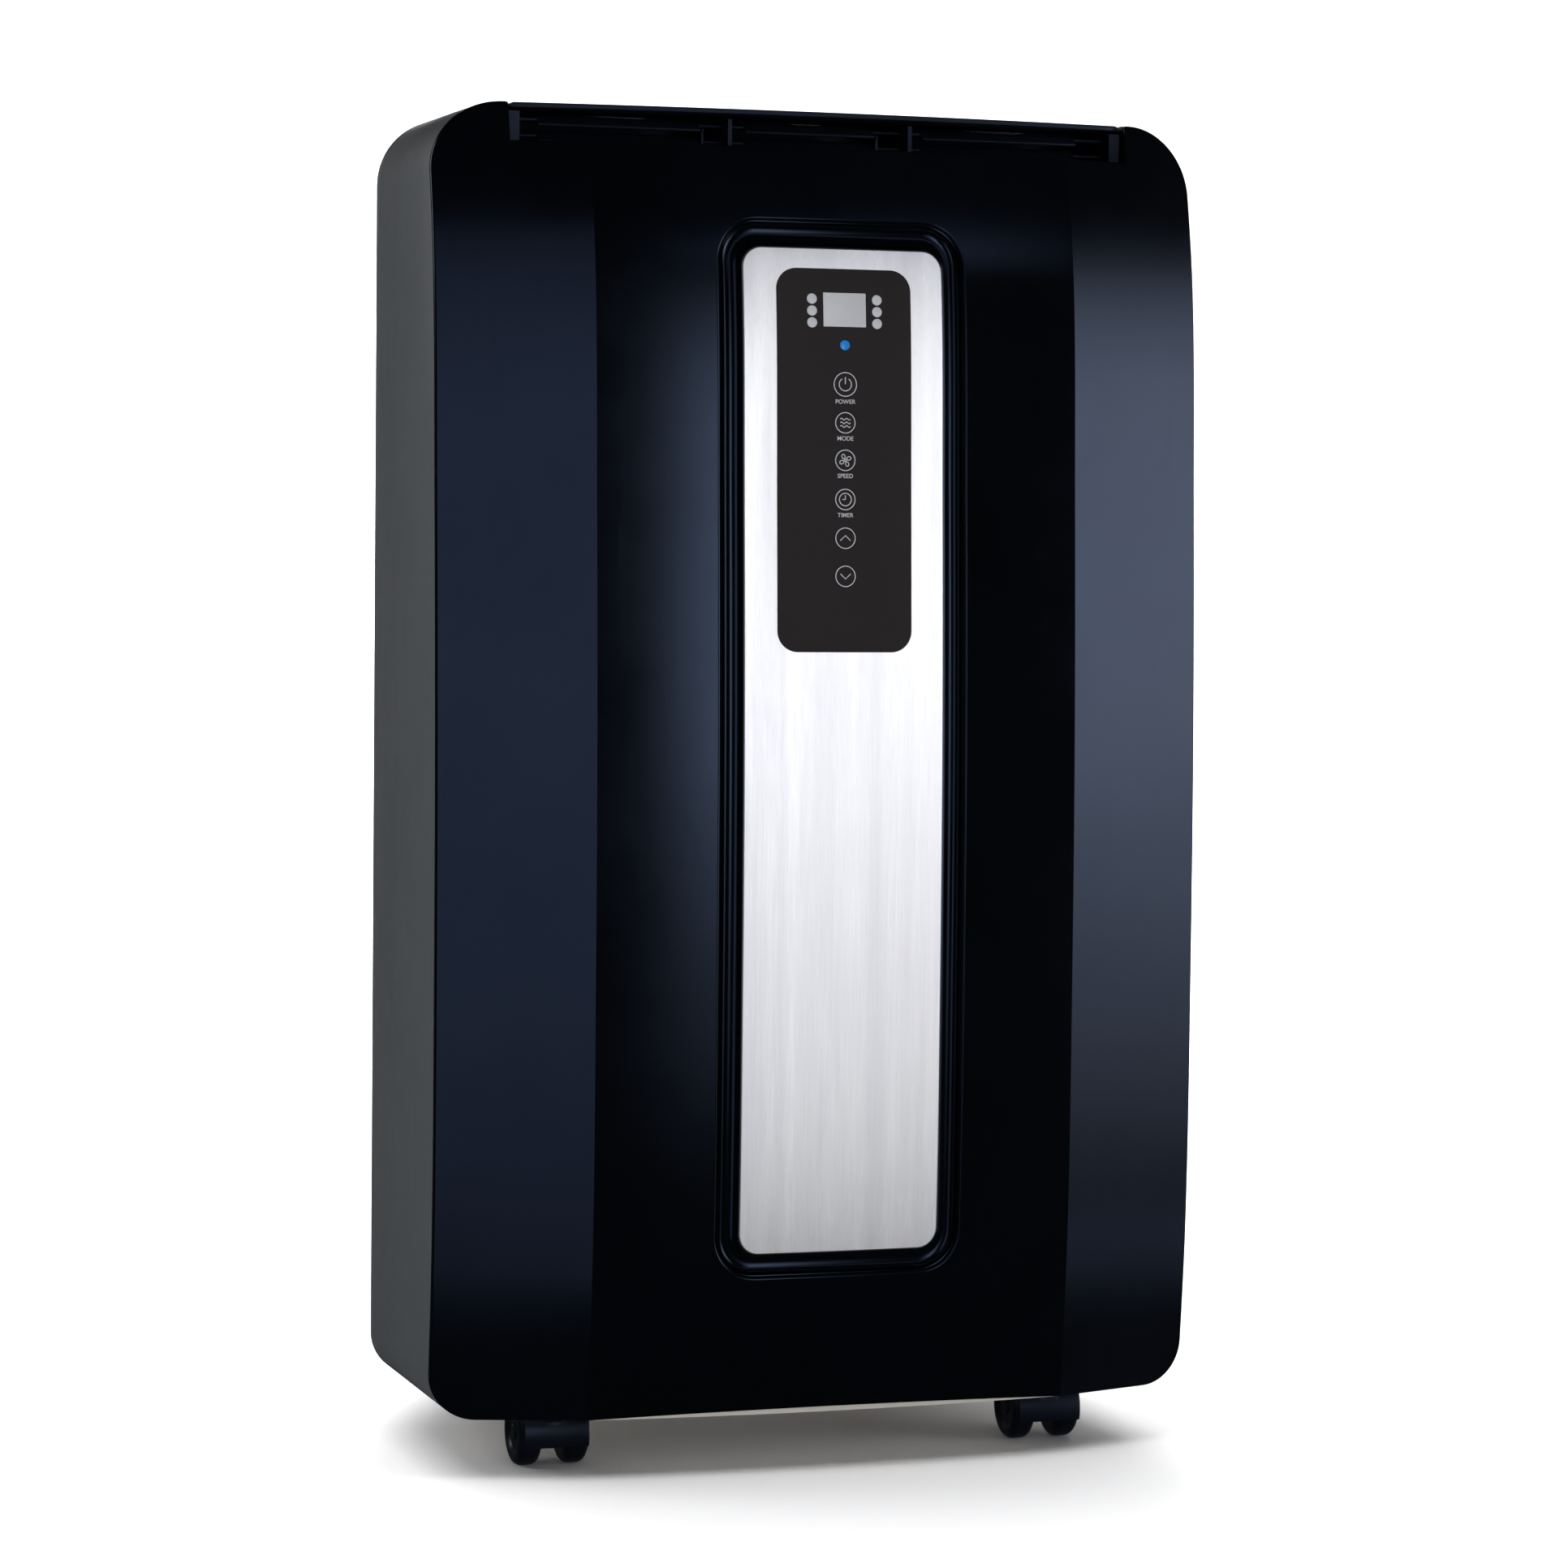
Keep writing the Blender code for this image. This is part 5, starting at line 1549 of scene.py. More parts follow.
@dataclass
class Cabinet:
    """The grey case: two side shells, and the rear shell that tapers to a flat back."""

    curve: FrontCurve
    wall: float = 0.0022
    top_radius: float = 0.040
    bottom_radius: float = 0.026
    skin_gap: float = 0.0033
    deck_half: float = 0.1888
    base_half: float = 0.1978
    cut_from: float = 0.150
    cut_to: float = 0.200
    collar_hole: float = 0.0673
    port_hole: float = 0.0064
    grip_y: float = 0.075
    grip_z: float = 0.700
    stations: tuple[Station, ...] = (
        Station(0.0026, 0.233, 0.0356, 0.790, 0.026, 0.040),
        Station(0.0086, 0.233, 0.0356, 0.790, 0.026, 0.040),
        Station(0.140, 0.180, 0.0376, 0.778, 0.030, 0.045),
        Station(0.158, 0.171, 0.0410, 0.770, 0.030, 0.045),
        Station(0.165, 0.160, 0.0500, 0.760, 0.028, 0.040))

    def _tube(self, name: str, front: float, back: float) -> Piece:
        """A round-cornered slab as wide and high as the cabinet, to be opened into a tube.

        Args:
            name: the object's name.
            front: y of its front.
            back: y of its back.

        Returns:
            The tube, with both end faces.
        """
        low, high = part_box("side_shell_left")
        half = -low.x
        tube = block(name, (-half, front, low.z), (half, back, high.z))
        middle = (low.z + high.z) / 2
        round_edges(tube, lambda edge: runs_along_y(edge) and edge.verts[0].co.z > middle,
                    self.top_radius, 16)
        round_edges(tube, lambda edge: runs_along_y(edge) and edge.verts[0].co.z < low.z + TINY
                    and abs(edge.verts[0].co.x) > half - TINY, self.bottom_radius, 12)
        return tube

    def _side(self, side: Side) -> None:
        """One side shell, from the front skin back to the rear shell.

        Args:
            side: which side.
        """
        node = "side_shell_" + side.label
        low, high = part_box(node)
        shell = self._tube("case_side_" + side.label, -0.05, high.y)
        with editing(shell):
            select_faces(shell, lambda place, normal: abs(normal.y) > 0.9)
            bpy.ops.mesh.delete(type="FACE")
            for edge_x, above in ((self.deck_half, True), (self.base_half, False)):
                bpy.ops.mesh.select_all(action="SELECT")
                bpy.ops.mesh.bisect(plane_co=(side.value * edge_x, 0, 0), plane_no=(1, 0, 0))
                level = 0.4
                select_faces(shell, lambda place, normal: (place.z > level) == above
                             and place.x * side.value < edge_x)
                bpy.ops.mesh.delete(type="FACE")
        slice_across(shell, rows_between(low.z + 0.03, high.z - 0.042, 0.012), Vector((0, 0, 1)))
        for vertex in shell.data.vertices:
            if vertex.co.y < -0.04:
                vertex.co.y = self.curve.y(vertex.co.x, vertex.co.z) + self.skin_gap
        self._thicken(shell)
        soften(shell, 0.35 * MM)
        finish_piece(shade(shell), "cabinet", SATIN_GREY, node)

    def _thicken(self, shell: Piece) -> None:
        """Give an open shell its wall, inwards.

        Args:
            shell: the open shell.
        """
        wall = shell.modifiers.new("wall", "SOLIDIFY")
        wall.thickness = self.wall
        wall.offset = -1.0
        wall.use_even_offset = True
        apply_modifier(shell, wall)

    def _station_point(self, place: Vector, station: Station) -> Vector:
        """Move a point of the straight tube's section to a tapered section.

        Args:
            place: a point on the first section.
            station: the section to move to.

        Returns:
            The same point on the other section.
        """
        _, first_half, first_low, first_high, first_low_radius, first_high_radius = self.stations[0]
        y, half, low, high, low_radius, high_radius = station
        upper = place.z > (first_low + first_high) / 2
        old = first_high_radius if upper else first_low_radius
        new = high_radius if upper else low_radius
        edge = first_high if upper else first_low
        target = high if upper else low
        sign = 1 if upper else -1
        in_x = abs(place.x) - (first_half - old)
        in_z = sign * (place.z - (edge - sign * old))
        x = half - new + new * in_x / old if in_x > 0 else abs(place.x) / (first_half - old) * (half - new)
        z = (target - sign * new) + sign * new * in_z / old if in_z > 0 else None
        if z is None:
            span = (first_high - first_high_radius) - (first_low + first_low_radius)
            share = (place.z - first_low - first_low_radius) / span
            z = low + low_radius + share * ((high - high_radius) - (low + low_radius))
        return Vector((x if place.x > 0 else -x, y, z))

    def _rear(self) -> None:
        """The rear shell: drawn back section by section, then cut for what sits in it."""
        first = self.stations[0].y
        shell = self._tube("case_rear", first, first + 0.001)
        with editing(shell):
            select_faces(shell, lambda place, normal: normal.y < -0.9)
            bpy.ops.mesh.delete(type="FACE")
        origins: dict[tuple[float, float], Vector] = {}
        for station in self.stations[1:]:
            with editing(shell):
                select_faces(shell, lambda place, normal: normal.y > 0.9)
                if origins:
                    bpy.ops.mesh.extrude_region_move(
                        TRANSFORM_OT_translate={"value": (0.0, 0.0005, 0.0)})
                mesh = bmesh.from_edit_mesh(shell.data)
                reached = {}
                for vert in [vert for vert in mesh.verts if vert.select]:
                    key = (round(vert.co.x, 6), round(vert.co.z, 6))
                    origin = origins.get(key, vert.co.copy())
                    vert.co = self._station_point(origin, station)
                    reached[round(vert.co.x, 6), round(vert.co.z, 6)] = origin
                origins = reached
                bmesh.update_edit_mesh(shell.data)
        round_edges(shell, lambda edge: is_rear_fold(edge, self.stations[-1].y), 0.004, 3)
        slice_across(shell, rows_between(0.09, 0.74, 0.02), Vector((0, 0, 1)))
        self._thicken(shell)
        self._cut_rear(shell)
        soften(shell, 0.35 * MM)
        finish_piece(shade(shell), "cabinet", SATIN_GREY, "rear_shell")

    def _cut_rear(self, shell: Piece) -> None:
        """Openings for the grilles, the collar, the ports, the base and the hand grips.

        Args:
            shell: the rear shell.
        """
        for node in ("intake_grille_upper", "intake_grille_lower"):
            low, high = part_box(node)
            gap = 0.5 * MM
            carve(shell, block("hole", (low.x - gap, self.cut_from, low.z - gap),
                               (high.x + gap, self.cut_to, high.z + gap)))
        for node, radius, steps in (("exhaust_collar", self.collar_hole, 64),
                                    ("cord_gland", self.port_hole, 24),
                                    ("drain_cap_upper", self.port_hole, 24),
                                    ("drain_cap_lower", self.port_hole, 24)):
            low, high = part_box(node)
            centre = (low + high) / 2
            carve(shell, rod("hole", (centre.x, self.cut_from, centre.z),
                             (centre.x, self.cut_to, centre.z), radius, steps))
        low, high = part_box("base_tray")
        carve(shell, block("hole", (-0.1578, -0.02, 0.0), (0.1578, high.y + 0.6 * MM, 0.052)))
        for side in Side:
            cup = self._grip(side, 0.0480, 0.0220, -0.0245, -0.0010, 0.006)
            carve(shell, cup, "UNION")
            hollow = self._grip(side, 0.0455, 0.0195, -0.0220, 0.0100, 0.008)
            carve(shell, hollow)

    def _grip(self, side: Side, half_length: float, half_height: float, inner: float,
              outer: float, radius: float) -> Piece:
        """A round-cornered box square to the slanted side, for a hand grip.

        Args:
            side: which side.
            half_length: half its length along the side.
            half_height: half its height.
            inner: how far it reaches in, as a negative number.
            outer: how far it reaches out.
            radius: its corners' radius.

        Returns:
            The box in its place.
        """
        first, second = self.stations[1], self.stations[2]
        run = Vector((second.half - first.half, second.y - first.y, 0))
        share = (self.grip_y - first.y) / run.y
        surface = Vector((first.half + share * run.x, self.grip_y, self.grip_z))
        along = run.normalized()
        outward = Vector((along.y, -along.x, 0))
        grip = block("grip", (inner, -half_length, -half_height), (outer, half_length, half_height))
        round_edges(grip, lambda edge: abs(edge.verts[0].co.x - edge.verts[1].co.x) > MM, radius, 6)
        turn = Matrix((outward, along, Vector((0, 0, 1)))).transposed().to_4x4()
        grip.data.transform(Matrix.Translation(surface) @ turn)
        if side is Side.LEFT:
            grip.data.transform(Matrix.Diagonal((-1, 1, 1, 1)))
            grip.data.flip_normals()
        return grip

    def build(self) -> None:
        """Make the two sides and the rear."""
        for side in Side:
            self._side(side)
        self._rear()


def is_rear_fold(edge: bmesh.types.BMEdge, rear: float) -> bool:
    """Whether an edge runs round the rear face."""
    return (len(edge.link_faces) == 2 and edge.calc_face_angle(0.0) > radians(12)
            and all(abs(vert.co.y - rear) < TINY for vert in edge.verts))


# --- Rear fittings ---


@dataclass
class RearFittings:
    """Intake grilles with their filters, hose collar, cord gland and drain plugs."""

    slat_pitch: float = 0.0098
    slat_height: float = 0.0046
    border: float = 0.0095
    face: float = 0.1654

    def _grille(self, level: str) -> None:
        """A framed grille of level slats with three uprights, all in one piece.

        Args:
            level: upper or lower.
        """
        node = "intake_grille_" + level
        low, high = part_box(node)
        frame = block("frame", low, high)
        gap = self.border
        carve(frame, block("hole", (low.x + gap, low.y - 0.01, low.z + gap),
                           (high.x - gap, high.y + 0.01, high.z - gap)))
        soften(frame, 0.8 * MM, 3)
        inner_low, inner_high = low.z + gap, high.z - gap
        count = int((inner_high - inner_low) / self.slat_pitch)
        pitch = (inner_high - inner_low) / count
        back, front = low.y + 0.8 * MM, high.y - 0.5 * MM
        first = block("slat", (low.x + gap - MM, back, inner_low + (pitch - self.slat_height) / 2),
                      (high.x - gap + MM, front, inner_low + (pitch + self.slat_height) / 2))
        soften(first, 0.7 * MM, 2)
        slats = [first] + [copy_of(first, "slat", Matrix.Translation((0, 0, pitch * step)))
                           for step in range(1, count)]
        uprights = []
        for share in (-1 / 3, 0.0, 1 / 3):
            x = share * (high.x - low.x)
            uprights.append(soften(block("upright", (x - 0.0022, low.y + 0.3 * MM, inner_low - MM),
                                         (x + 0.0022, front - 0.8 * MM, inner_high + MM)), 0.4 * MM))
        finger = self._finger_tab(low, high)
        grille = join("intake_cover_" + level, [frame, *slats, *uprights, finger])
        finish_piece(shade(grille), "intake_" + level, SATIN_GREY, node)

    @staticmethod
    def _finger_tab(low: Vector, high: Vector) -> Piece:
        """A small raised tab on the frame's top edge, to pull the grille by."""
        tab = block("tab", (-0.016, high.y - 1.2 * MM, high.z - 0.0078),
                    (0.016, high.y, high.z - 0.0028))
        return soften(tab, 0.5 * MM, 3)

    def _filter(self, level: str) -> None:
        """The filter: a rounded rim round a sheet of gauze stiffened by ribs.

        Args:
            level: upper or lower.
        """
        node = "air_filter_" + level
        low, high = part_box(node)
        rim = block("rim", low, high)
        carve(rim, block("hole", (low.x + 0.006, low.y - 0.01, low.z + 0.006),
                         (high.x - 0.006, high.y + 0.01, high.z - 0.006)))
        soften(rim, 0.7 * MM, 2)
        middle = (low.y + high.y) / 2
        ribs = []
        for step in range(1, 6):
            x = low.x + (high.x - low.x) * step / 6
            ribs.append(soften(block("rib", (x - MM, middle, low.z + 0.004), (x + MM, high.y - 0.6 * MM,
                                                                              high.z - 0.004)), 0.3 * MM))
        for step in range(1, 5):
            z = low.z + (high.z - low.z) * step / 5
            ribs.append(soften(block("rib", (low.x + 0.004, middle, z - MM),
                                     (high.x - 0.004, high.y - 0.8 * MM, z + MM)), 0.3 * MM))
        finish_piece(shade(join("filter_rim_" + level, [rim, *ribs])), "intake_" + level,
                     INNER_BLACK)
        gauze = soften(block("filter_gauze_" + level, (low.x + 0.004, middle - 0.7 * MM, low.z + 0.004),
                             (high.x - 0.004, middle, high.z - 0.004)), 0.2 * MM)
        finish_piece(shade(gauze), "intake_" + level, FILTER_GAUZE, node)

    def _collar(self) -> None:
        """The hose collar: flange, bayonet bead and rolled mouth, with four flange screws."""
        low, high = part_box("exhaust_collar")
        place = Vector(((low.x + high.x) / 2, 0.0, (low.z + high.z) / 2))
        bore, outer, flange = 0.0620, 0.0665, 0.0790
        face = self.face
        mouth = arc((0.06425, high.y - 0.00225), 0.00225, 180, 0, 8)
        profile = (mouth + [(outer, face + 0.0075), (outer + 0.0010, face + 0.0065),
                            (outer + 0.0010, face + 0.0052), (outer + 0.0004, face + 0.0042)]
                   + [(outer + 0.0010, face + 0.0032)]
                   + arc((flange - 0.0012, face + 0.0020), 0.0012, 90, 0, 4)
                   + [(flange, face), (outer, face), (outer, low.y), (bore, low.y), mouth[0]])
        collar = turned("hose_collar", profile, place, Vector((0, 1, 0)), 96)
        screws = []
        for step in range(4):
            angle = radians(45 + 90 * step)
            spot = place + Vector((0.0735 * cos(angle), 0, 0.0735 * sin(angle)))
            head = turned("screw", [(0.0, face + 0.0040), (0.0016, face + 0.0040),
                                    (0.0026, face + 0.0034), (0.0028, face + 0.0028),
                                    (0.0028, face + 0.0020), (0.0, face + 0.0020)],
                          spot, Vector((0, 1, 0)), 20)
            for turn in (0, 90):
                slot = block("slot", (-0.0016, face + 0.0032, -0.00035), (0.0016, face + 0.006, 0.00035))
                slot.data.transform(Matrix.Translation(spot) @ Matrix.Rotation(radians(turn), 4, "Y"))
                carve(head, slot)
            screws.append(head)
        finish_piece(shade(join("hose_collar", [collar, *screws])), "cabinet", INNER_BLACK,
                     "exhaust_collar")

    def _gland(self) -> None:
        """The cord gland: a stepped rubber boot with grip rings round a clear bore."""
        low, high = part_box("cord_gland")
        place = Vector(((low.x + high.x) / 2, 0.0, (low.z + high.z) / 2))
        face = self.face
        rings = []
        for step in range(3):
            rings += [(0.0068 - 0.0004 * step, face + 0.0052 + 0.003 * step),
                      (0.0062 - 0.0004 * step, face + 0.0062 + 0.003 * step),
                      (0.0062 - 0.0004 * step, face + 0.0070 + 0.003 * step)]
        profile = [(0.0036, high.y), (0.0050, high.y), (0.0055, high.y - 0.0006)] + rings[::-1]
        profile += [(0.0070, face + 0.0036), (0.0088, face + 0.0030), (0.0095, face + 0.0022),
                    (0.0095, face), (0.0060, face), (0.0060, low.y), (0.0036, low.y), (0.0036, high.y)]
        gland = turned("cord_boot", profile, place, Vector((0, 1, 0)), 40)
        finish_piece(gland, "cabinet", SOFT_RUBBER, "cord_gland")

    def _plugs(self) -> None:
        """The two drain plugs, each with a domed head, a grip bar and a ribbed stem."""
        for level in ("upper", "lower"):
            node = "drain_cap_" + level
            low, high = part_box(node)
            place = Vector(((low.x + high.x) / 2, 0.0, (low.z + high.z) / 2))
            face = self.face
            profile = [(0.0, face + 0.0038), (0.0070, face + 0.0036)]
            profile += arc((0.0090, face + 0.0021), 0.0015, 90, 0, 4)
            profile += [(0.0105, face + 0.0015), (0.0105, face), (0.0060, face)]
            for step in range(4):
                base = face - 0.0020 - 0.0025 * step
                profile += [(0.0060, base), (0.0054, base - 0.0006), (0.0054, base - 0.0014),
                            (0.0060, base - 0.0020)]
            profile += [(0.0052, low.y), (0.0, low.y)]
            plug = turned("plug", profile, place, Vector((0, 1, 0)), 40)
            bar = soften(block("bar", (place.x - 0.0070, face + 0.0025, place.z - 0.0014),
                               (place.x + 0.0070, high.y, place.z + 0.0014)), 0.6 * MM, 3)
            finish_piece(shade(join("drain_plug_" + level, [plug, bar])), node, SOFT_RUBBER, node)

    def build(self) -> None:
        """Make everything that sits in the rear shell."""
        for level in ("upper", "lower"):
            self._grille(level)
            self._filter(level)
        self._collar()
        self._gland()
        self._plugs()


# --- Castors and base ---


@dataclass
class Castors:
    """Four twin-wheel castors: a hood over two wheels with rounded treads."""

    wheel_radius: float = 0.0195
    inner: float = 0.0068
    outer: float = 0.0215
    hood_radius: float = 0.0225
    hood_half: float = 0.0203
    hood_wall: float = 0.0020
    hood_bottom: float = 0.0130
    stem_radius: float = 0.0050
    stem_top: float = 0.0495
    lip_radius: float = 0.0016
    web_half: float = 0.0062
    web_rear: float = 0.0065
    web_top: float = 0.0090

    def _wheel(self, side: Side, centre: Vector) -> Piece:
        """One wheel, turned: rounded tread, dished outer face with a hub cap.

        Args:
            side: the side that its outer face looks to.
            centre: the wheel's centre.

        Returns:
            The wheel.
        """
        half = (self.outer - self.inner) / 2
        rim = self.wheel_radius
        tread = arc((rim - 0.0050, half - 0.0050), 0.0050, 75, 0, 7)
        tread += arc((rim - 0.0050, -half + 0.0050), 0.0050, 0, -80, 7)
        profile = [(0.0, half - 0.0006), (0.0040, half - 0.0006), (0.0048, half - 0.0012),
                   (0.0052, half - 0.0020), (0.0105, half - 0.0022), (0.0122, half - 0.0010),
                   (0.0135, half - 0.0004)]
        profile += tread + [(0.0120, -half), (0.0028, -half), (0.0028, half - 0.0015),
                            (0.0, half - 0.0015)]
        axis = Vector((float(side.value), 0, 0))
        return turned("wheel", profile, centre, axis, 56)

    def _hood(self, axle: Vector) -> Piece:
        """The hood: a shell over both treads, open below, with a web between the wheels.

        Args:
            axle: the middle of the axle.

        Returns:
            The hood with its web.
        """
        outer, half = self.hood_radius, self.hood_half
        inner = outer - self.hood_wall
        edge = self.lip_radius
        lip = arc((outer - edge, half - edge), edge, 0, 90, 4)
        profile = [(inner, -half), (outer - edge, -half), (outer, -half + edge)]
        profile += lip + [(inner, half), (inner, -half)]
        shell = turned("hood", profile, axle, Vector((1, 0, 0)), 72)
        reach = 2 * outer
        carve(shell, block("below", axle - Vector((reach, reach, reach)),
                           Vector((axle.x + reach, axle.y + reach, self.hood_bottom))))
        carve(shell, block("behind", (axle.x - reach, axle.y + self.web_rear, 0.0),
                           (axle.x + reach, axle.y + reach, axle.z + self.web_top)))
        web = block("web", (axle.x - self.web_half, axle.y - outer + MM, self.hood_bottom),
                    (axle.x + self.web_half, axle.y + self.web_rear, axle.z + self.web_top))
        return join("hood", [soften(shell, 0.3 * MM), soften(web, 0.3 * MM)])

    def _body(self, corner: str, frame: dict) -> None:
        """A castor's hood with its axle, swivel collar and stem.

        Args:
            corner: which castor.
            frame: the loaded frame.
        """
        node = f"castor_{corner}_body"
        ends = [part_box(f"castor_{corner}_wheel_{side.label}") for side in Side]
        axle = sum((low + high for low, high in ends), Vector()) / 4
        swivel = next(joint for joint in frame["record"]["behaviour"]["joints"]
                      if joint["name"] == f"castor_{corner}_swivel")
        x, y, _ = swivel["pos_m"]
        pin = soften(rod("pin", axle - Vector((self.outer - 0.0014, 0, 0)),
                         axle + Vector((self.outer - 0.0014, 0, 0)), 0.0025, 20), 0.3 * MM)
        collar = turned("collar", [(0.0, 0.0440), (0.0088, 0.0440), (0.0098, 0.0432),
                                   (0.0105, 0.0330), (0.0105, 0.0300), (0.0, 0.0300)],
                        Vector((x, y, 0.0)), Vector((0, 0, 1)), 40)
        stem = soften(rod("stem", (x, y, 0.0300), (x, y, self.stem_top), self.stem_radius, 28),
                      0.4 * MM)
        whole = join("castor_hood_" + corner, [self._hood(axle), pin, collar, stem])
        finish_piece(shade(whole), "castor_" + corner, CASTOR_NYLON, node)

    def build(self, frame: dict) -> None:
        """Make hood and wheels of each castor, and dress the base.

        Args:
            frame: the loaded frame.
        """
        for corner in ("front_left", "front_right", "rear_left", "rear_right"):
            for side in Side:
                node = f"castor_{corner}_wheel_{side.label}"
                low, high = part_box(node)
                wheel = self._wheel(side, (low + high) / 2)
                wheel.name = f"castor_tyre_{corner}_{side.label}"
                finish_piece(wheel, node, CASTOR_NYLON, node)
            self._body(corner, frame)
        dress_node(frame, "base_tray", TRAY_GREY)


@dataclass
class Internals:
    """The pieces inside the case, which keep their CAD shapes and get real finishes."""

    finishes: tuple[tuple[str, Finish], ...] = (
        ("evaporator_coil", COIL_FINS), ("condenser_coil", COIL_FINS), ("drip_tray", WHITE_FOAM),
        ("blower_scroll", WHITE_FOAM), ("fan_shroud", WHITE_FOAM), ("blower_wheel", FAN_PLASTIC),
        ("exhaust_fan", FAN_PLASTIC), ("blower_motor", MOTOR_STEEL),
        ("exhaust_fan_motor", MOTOR_STEEL), ("compressor", CAN_ENAMEL),
        ("refrigerant_line", COPPER_TUBE), ("control_board", SOLDER_MASK))

    def build(self, frame: dict) -> None:
        """Dress each node."""
        for node, finish in self.finishes:
            dress_node(frame, node, finish)


# --- Studio ---


@dataclass
class Softbox:
    """One soft rectangular light: where it stands, its size, strength and colour."""

    name: str
    place: tuple[float, float, float]
    aim: tuple[float, float, float]
    size: tuple[float, float]
    watts: float
    colour: str = "FFFFFF"
    rim: tuple[float, float] = (1.0, 1.0)
    only: tuple[str, ...] = ()

    def _fade(self, lamp: bpy.types.Light) -> None:
        """Let the cloth glow less towards its rim, across and up, as a real softbox does.

        Args:
            lamp: the light to fade.
        """
        lamp.use_nodes = True
        tree = lamp.node_tree
        place = add_node(tree, "ShaderNodeNewGeometry").outputs["Parametric"]
        parts = add_node(tree, "ShaderNodeSeparateXYZ", links={"Vector": place})
        shares = []
        for axis, level in zip("XY", self.rim):
            middle = add_node(tree, "ShaderNodeMath", {"operation": "SUBTRACT", 1: 0.5},
                              {0: parts.outputs[axis]})
            away = add_node(tree, "ShaderNodeMath", {"operation": "ABSOLUTE"},
                            {0: middle.outputs["Value"]})
            share = add_node(tree, "ShaderNodeMapRange", {
                "interpolation_type": "SMOOTHSTEP", "From Min": 0.5, "From Max": 0.0,
                "To Min": level, "To Max": 1.0}, {"Value": away.outputs["Value"]})
            shares.append(share.outputs["Result"])
        both = add_node(tree, "ShaderNodeMath", {"operation": "MULTIPLY"},
                        {0: shares[0], 1: shares[1]})
        glow = next(node for node in tree.nodes if node.type == "EMISSION")
        tree.links.new(both.outputs["Value"], glow.inputs["Strength"])

    def build(self) -> None:
        """Hang the light, turn it to its aim, and shade it from all but the named pieces."""
        lamp = bpy.data.lights.new(self.name, "AREA")
        lamp.shape = "RECTANGLE"
        lamp.size, lamp.size_y = self.size
        lamp.energy = self.watts
        lamp.color = linear(self.colour)[:3]
        if self.rim != (1.0, 1.0):
            self._fade(lamp)
        item = bpy.data.objects.new(self.name, lamp)
        item.location = self.place
        item.rotation_euler = (Vector(self.aim) - Vector(self.place)).to_track_quat("-Z", "Y").to_euler()
        bpy.context.scene.collection.objects.link(item)
        if self.only:
            lit = bpy.data.collections.new(self.name + "_lights")
            for name in self.only:
                lit.objects.link(bpy.data.objects[name])
            item.light_linking.receiver_collection = lit


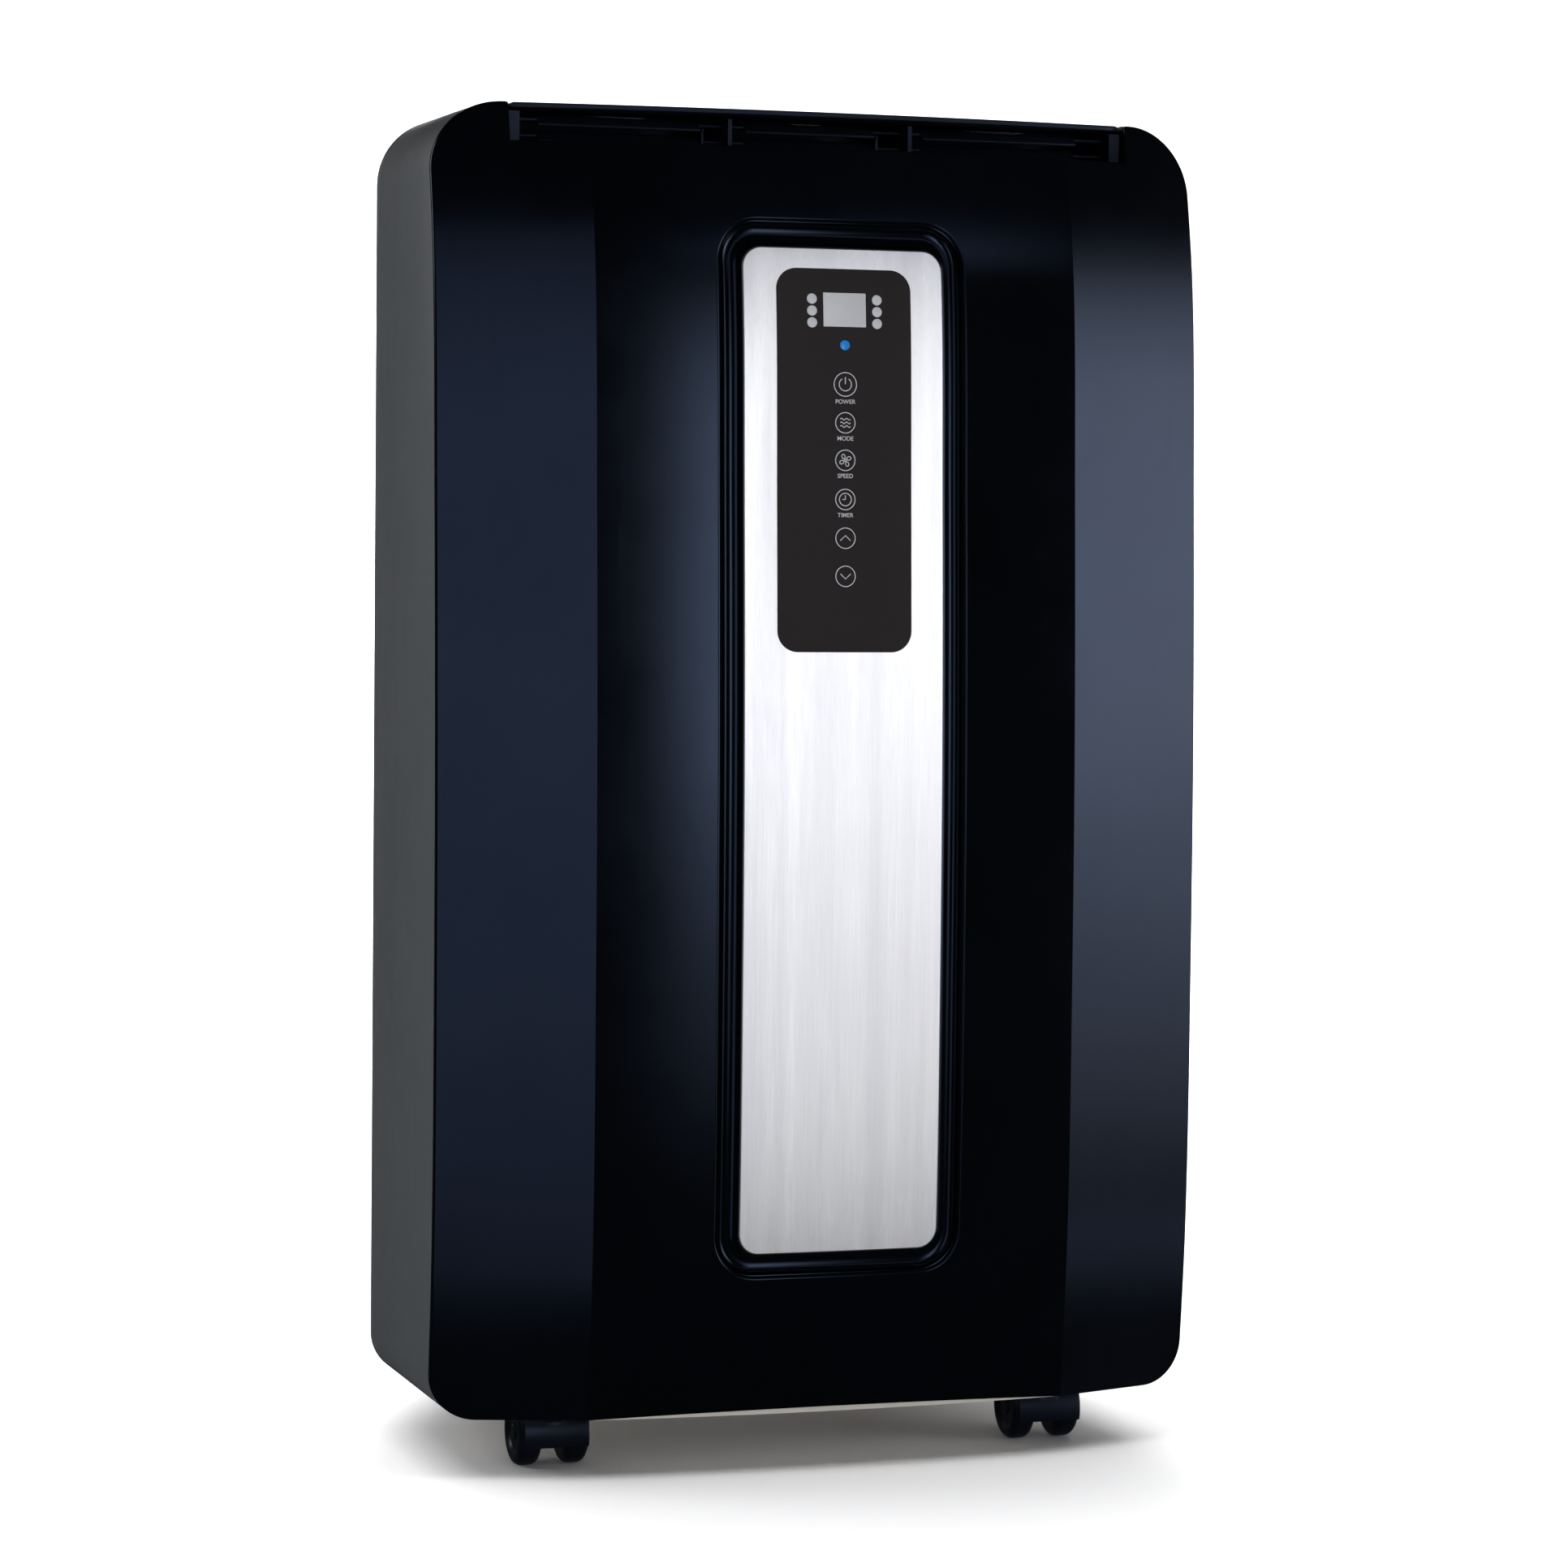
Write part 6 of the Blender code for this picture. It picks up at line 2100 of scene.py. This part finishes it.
@dataclass
class Studio:
    """Pale floor with a rising backdrop, soft lights, and the camera."""

    camera_place: tuple[float, float, float] = (-0.8473, -2.6623, 0.5455)
    yaw: float = 0.3161
    pitch: float = -0.0549
    roll: float = 0.0104
    lens: float = 104.55
    floor_colour: str = "F7F7F8"

    def _camera(self) -> None:
        """Set the camera at three-quarter view from the left, near mid height."""
        data = bpy.data.cameras.new("camera")
        data.lens = self.lens
        data.sensor_width = 36.0
        item = bpy.data.objects.new("camera", data)
        bpy.context.scene.collection.objects.link(item)
        forward = Vector((sin(self.yaw) * cos(self.pitch), cos(self.yaw) * cos(self.pitch),
                          sin(self.pitch)))
        level = Vector((cos(self.yaw), -sin(self.yaw), 0.0))
        above = level.cross(forward)
        right = cos(self.roll) * level + sin(self.roll) * above
        up = -sin(self.roll) * level + cos(self.roll) * above
        turn = Matrix((right, up, -forward)).transposed().to_4x4()
        item.matrix_world = Matrix.Translation(self.camera_place) @ turn
        bpy.context.scene.camera = item

    def _floor(self) -> None:
        """A pale floor that curves up behind the object."""
        bpy.ops.object.select_all(action="DESELECT")
        bpy.ops.mesh.primitive_plane_add(size=1, location=(0.0, 1.0, 0.0))
        floor = bpy.context.object
        floor.name = "studio_floor"
        floor.scale = (9.0, 6.0, 1.0)
        bpy.ops.object.transform_apply(location=True, rotation=True, scale=True)
        with editing(floor):
            select_edges(floor, lambda edge: all(vert.co.y > 3.9 for vert in edge.verts))
            bpy.ops.mesh.extrude_region_move(TRANSFORM_OT_translate={"value": (0.0, 0.0, 4.5)})
        round_edges(floor, lambda edge: all(vert.co.y > 3.9 and abs(vert.co.z) < TINY
                                            for vert in edge.verts), 1.5, 16)
        shade(floor)
        material, tree, place = new_material("painted_studio_floor", {"Roughness": 0.9})
        cloud = add_node(tree, "ShaderNodeTexNoise", {"Scale": 1.2}, {"Vector": place})
        colour = add_node(tree, "ShaderNodeMix", {
            "data_type": "RGBA", 6: linear(self.floor_colour), 7: linear("FAFAFA")},
            {0: cloud.outputs["Fac"]})
        feed_shader(tree, {"Base Color": colour.outputs[2]})
        floor.data.materials.append(material)
        floor.visible_glossy = False
        floor.visible_shadow = False

    def _world(self) -> None:
        """A surround that looks pale but lights dimly, so that the gloss black stays black."""
        world = bpy.data.worlds.new("studio")
        world.use_nodes = True
        tree = world.node_tree
        ground = tree.nodes["Background"]
        ground.inputs["Color"].default_value = linear("F7F8FA")
        seen = add_node(tree, "ShaderNodeLightPath").outputs["Is Camera Ray"]
        strength = add_node(tree, "ShaderNodeMapRange", {"To Min": 0.03, "To Max": 1.0},
                            {"Value": seen})
        tree.links.new(strength.outputs["Result"], ground.inputs["Strength"])
        bpy.context.scene.world = world

    def build(self) -> None:
        """Build floor, surround, lights and camera."""
        self._floor()
        self._world()
        for lamp in (
                Softbox("left_bank", (-1.25, -3.3, 0.585), (-0.2, 0.0, 0.585), (0.8, 3.07), 12.3,
                        "E4EAFF", rim=(1.0, 0.38)),
                Softbox("right_bank", (3.4, -2.3, 0.70), (0.1, 0.0, 0.70), (1.5, 2.7), 64.0,
                        "F6F6FC", rim=(1.0, 0.06)),
                Softbox("right_low", (3.4, -2.3, -0.35), (0.1, 0.0, -0.35), (1.5, 1.4), 8.0,
                        "E4EAFF", rim=(1.0, 0.4)),
                Softbox("front_glow", (0.67, -3.5, 0.7), (0.0, 0.0, 0.7), (1.1, 2.4), 30.0,
                        "F8F8FC", rim=(0.0, 0.0)),
                Softbox("glow_core", (0.60, -3.5, 0.6), (0.0, 0.0, 0.6), (0.7, 1.6), 7.0,
                        "F8F8FC", rim=(0.0, 0.0), only=("front_moulding",)),
                Softbox("brow_glow", (1.3, -3.3, 1.95), (0.0, 0.0, 1.95), (2.0, 0.5), 4.0,
                        "E4EAFF", rim=(0.3, 0.3)),
                Softbox("fascia_wash", (0.95, -3.4, 0.6), (0.0, -0.2, 0.6), (1.8, 3.0), 16.5,
                        only=("fascia_sheet",)),
                Softbox("panel_wash", (-1.4, -1.9, 2.3), (0.0, -0.2, 0.6), (0.9, 0.9), 42.0,
                        only=CONTROL_PIECES),
                Softbox("floor_wash", (0.0, 0.4, 3.8), (0.0, 0.4, 0.0), (6.0, 6.0), 330.0,
                        only=("studio_floor",)),
                Softbox("backdrop_wash", (0.0, 1.2, 2.6), (0.0, 4.0, 1.2), (5.0, 1.2), 110.0,
                        only=("studio_floor",)),
                Softbox("left_side", (-2.8, 1.2, 1.8), (-0.2, 0.0, 0.6), (1.2, 1.6), 36.0),
                Softbox("rear_side", (1.2, 3.4, 1.6), (0.0, 0.0, 0.4), (1.6, 1.6), 60.0)):
            lamp.build()
        bpy.context.scene.view_settings.view_transform = "Standard"
        self._camera()


# --- Assembly ---


def corners(box: tuple[Vector, Vector]) -> list[list[float]]:
    """A box's two corners as plain lists."""
    return [list(corner) for corner in box]


def main() -> None:
    """Load the frame, build every sub-assembly in order, and light it."""
    logging.basicConfig(level=logging.INFO, format="%(message)s")
    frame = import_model()
    curve = FrontCurve()
    controls = ControlPanel(curve)
    FrontMoulding(curve).build()
    Fascia(curve).build(controls)
    controls.build()
    AirOutlet().build(frame)
    Cabinet(curve).build()
    RearFittings().build()
    Castors().build(frame)
    Internals().build(frame)
    Studio().build()


if __name__ == "__main__":
    main()
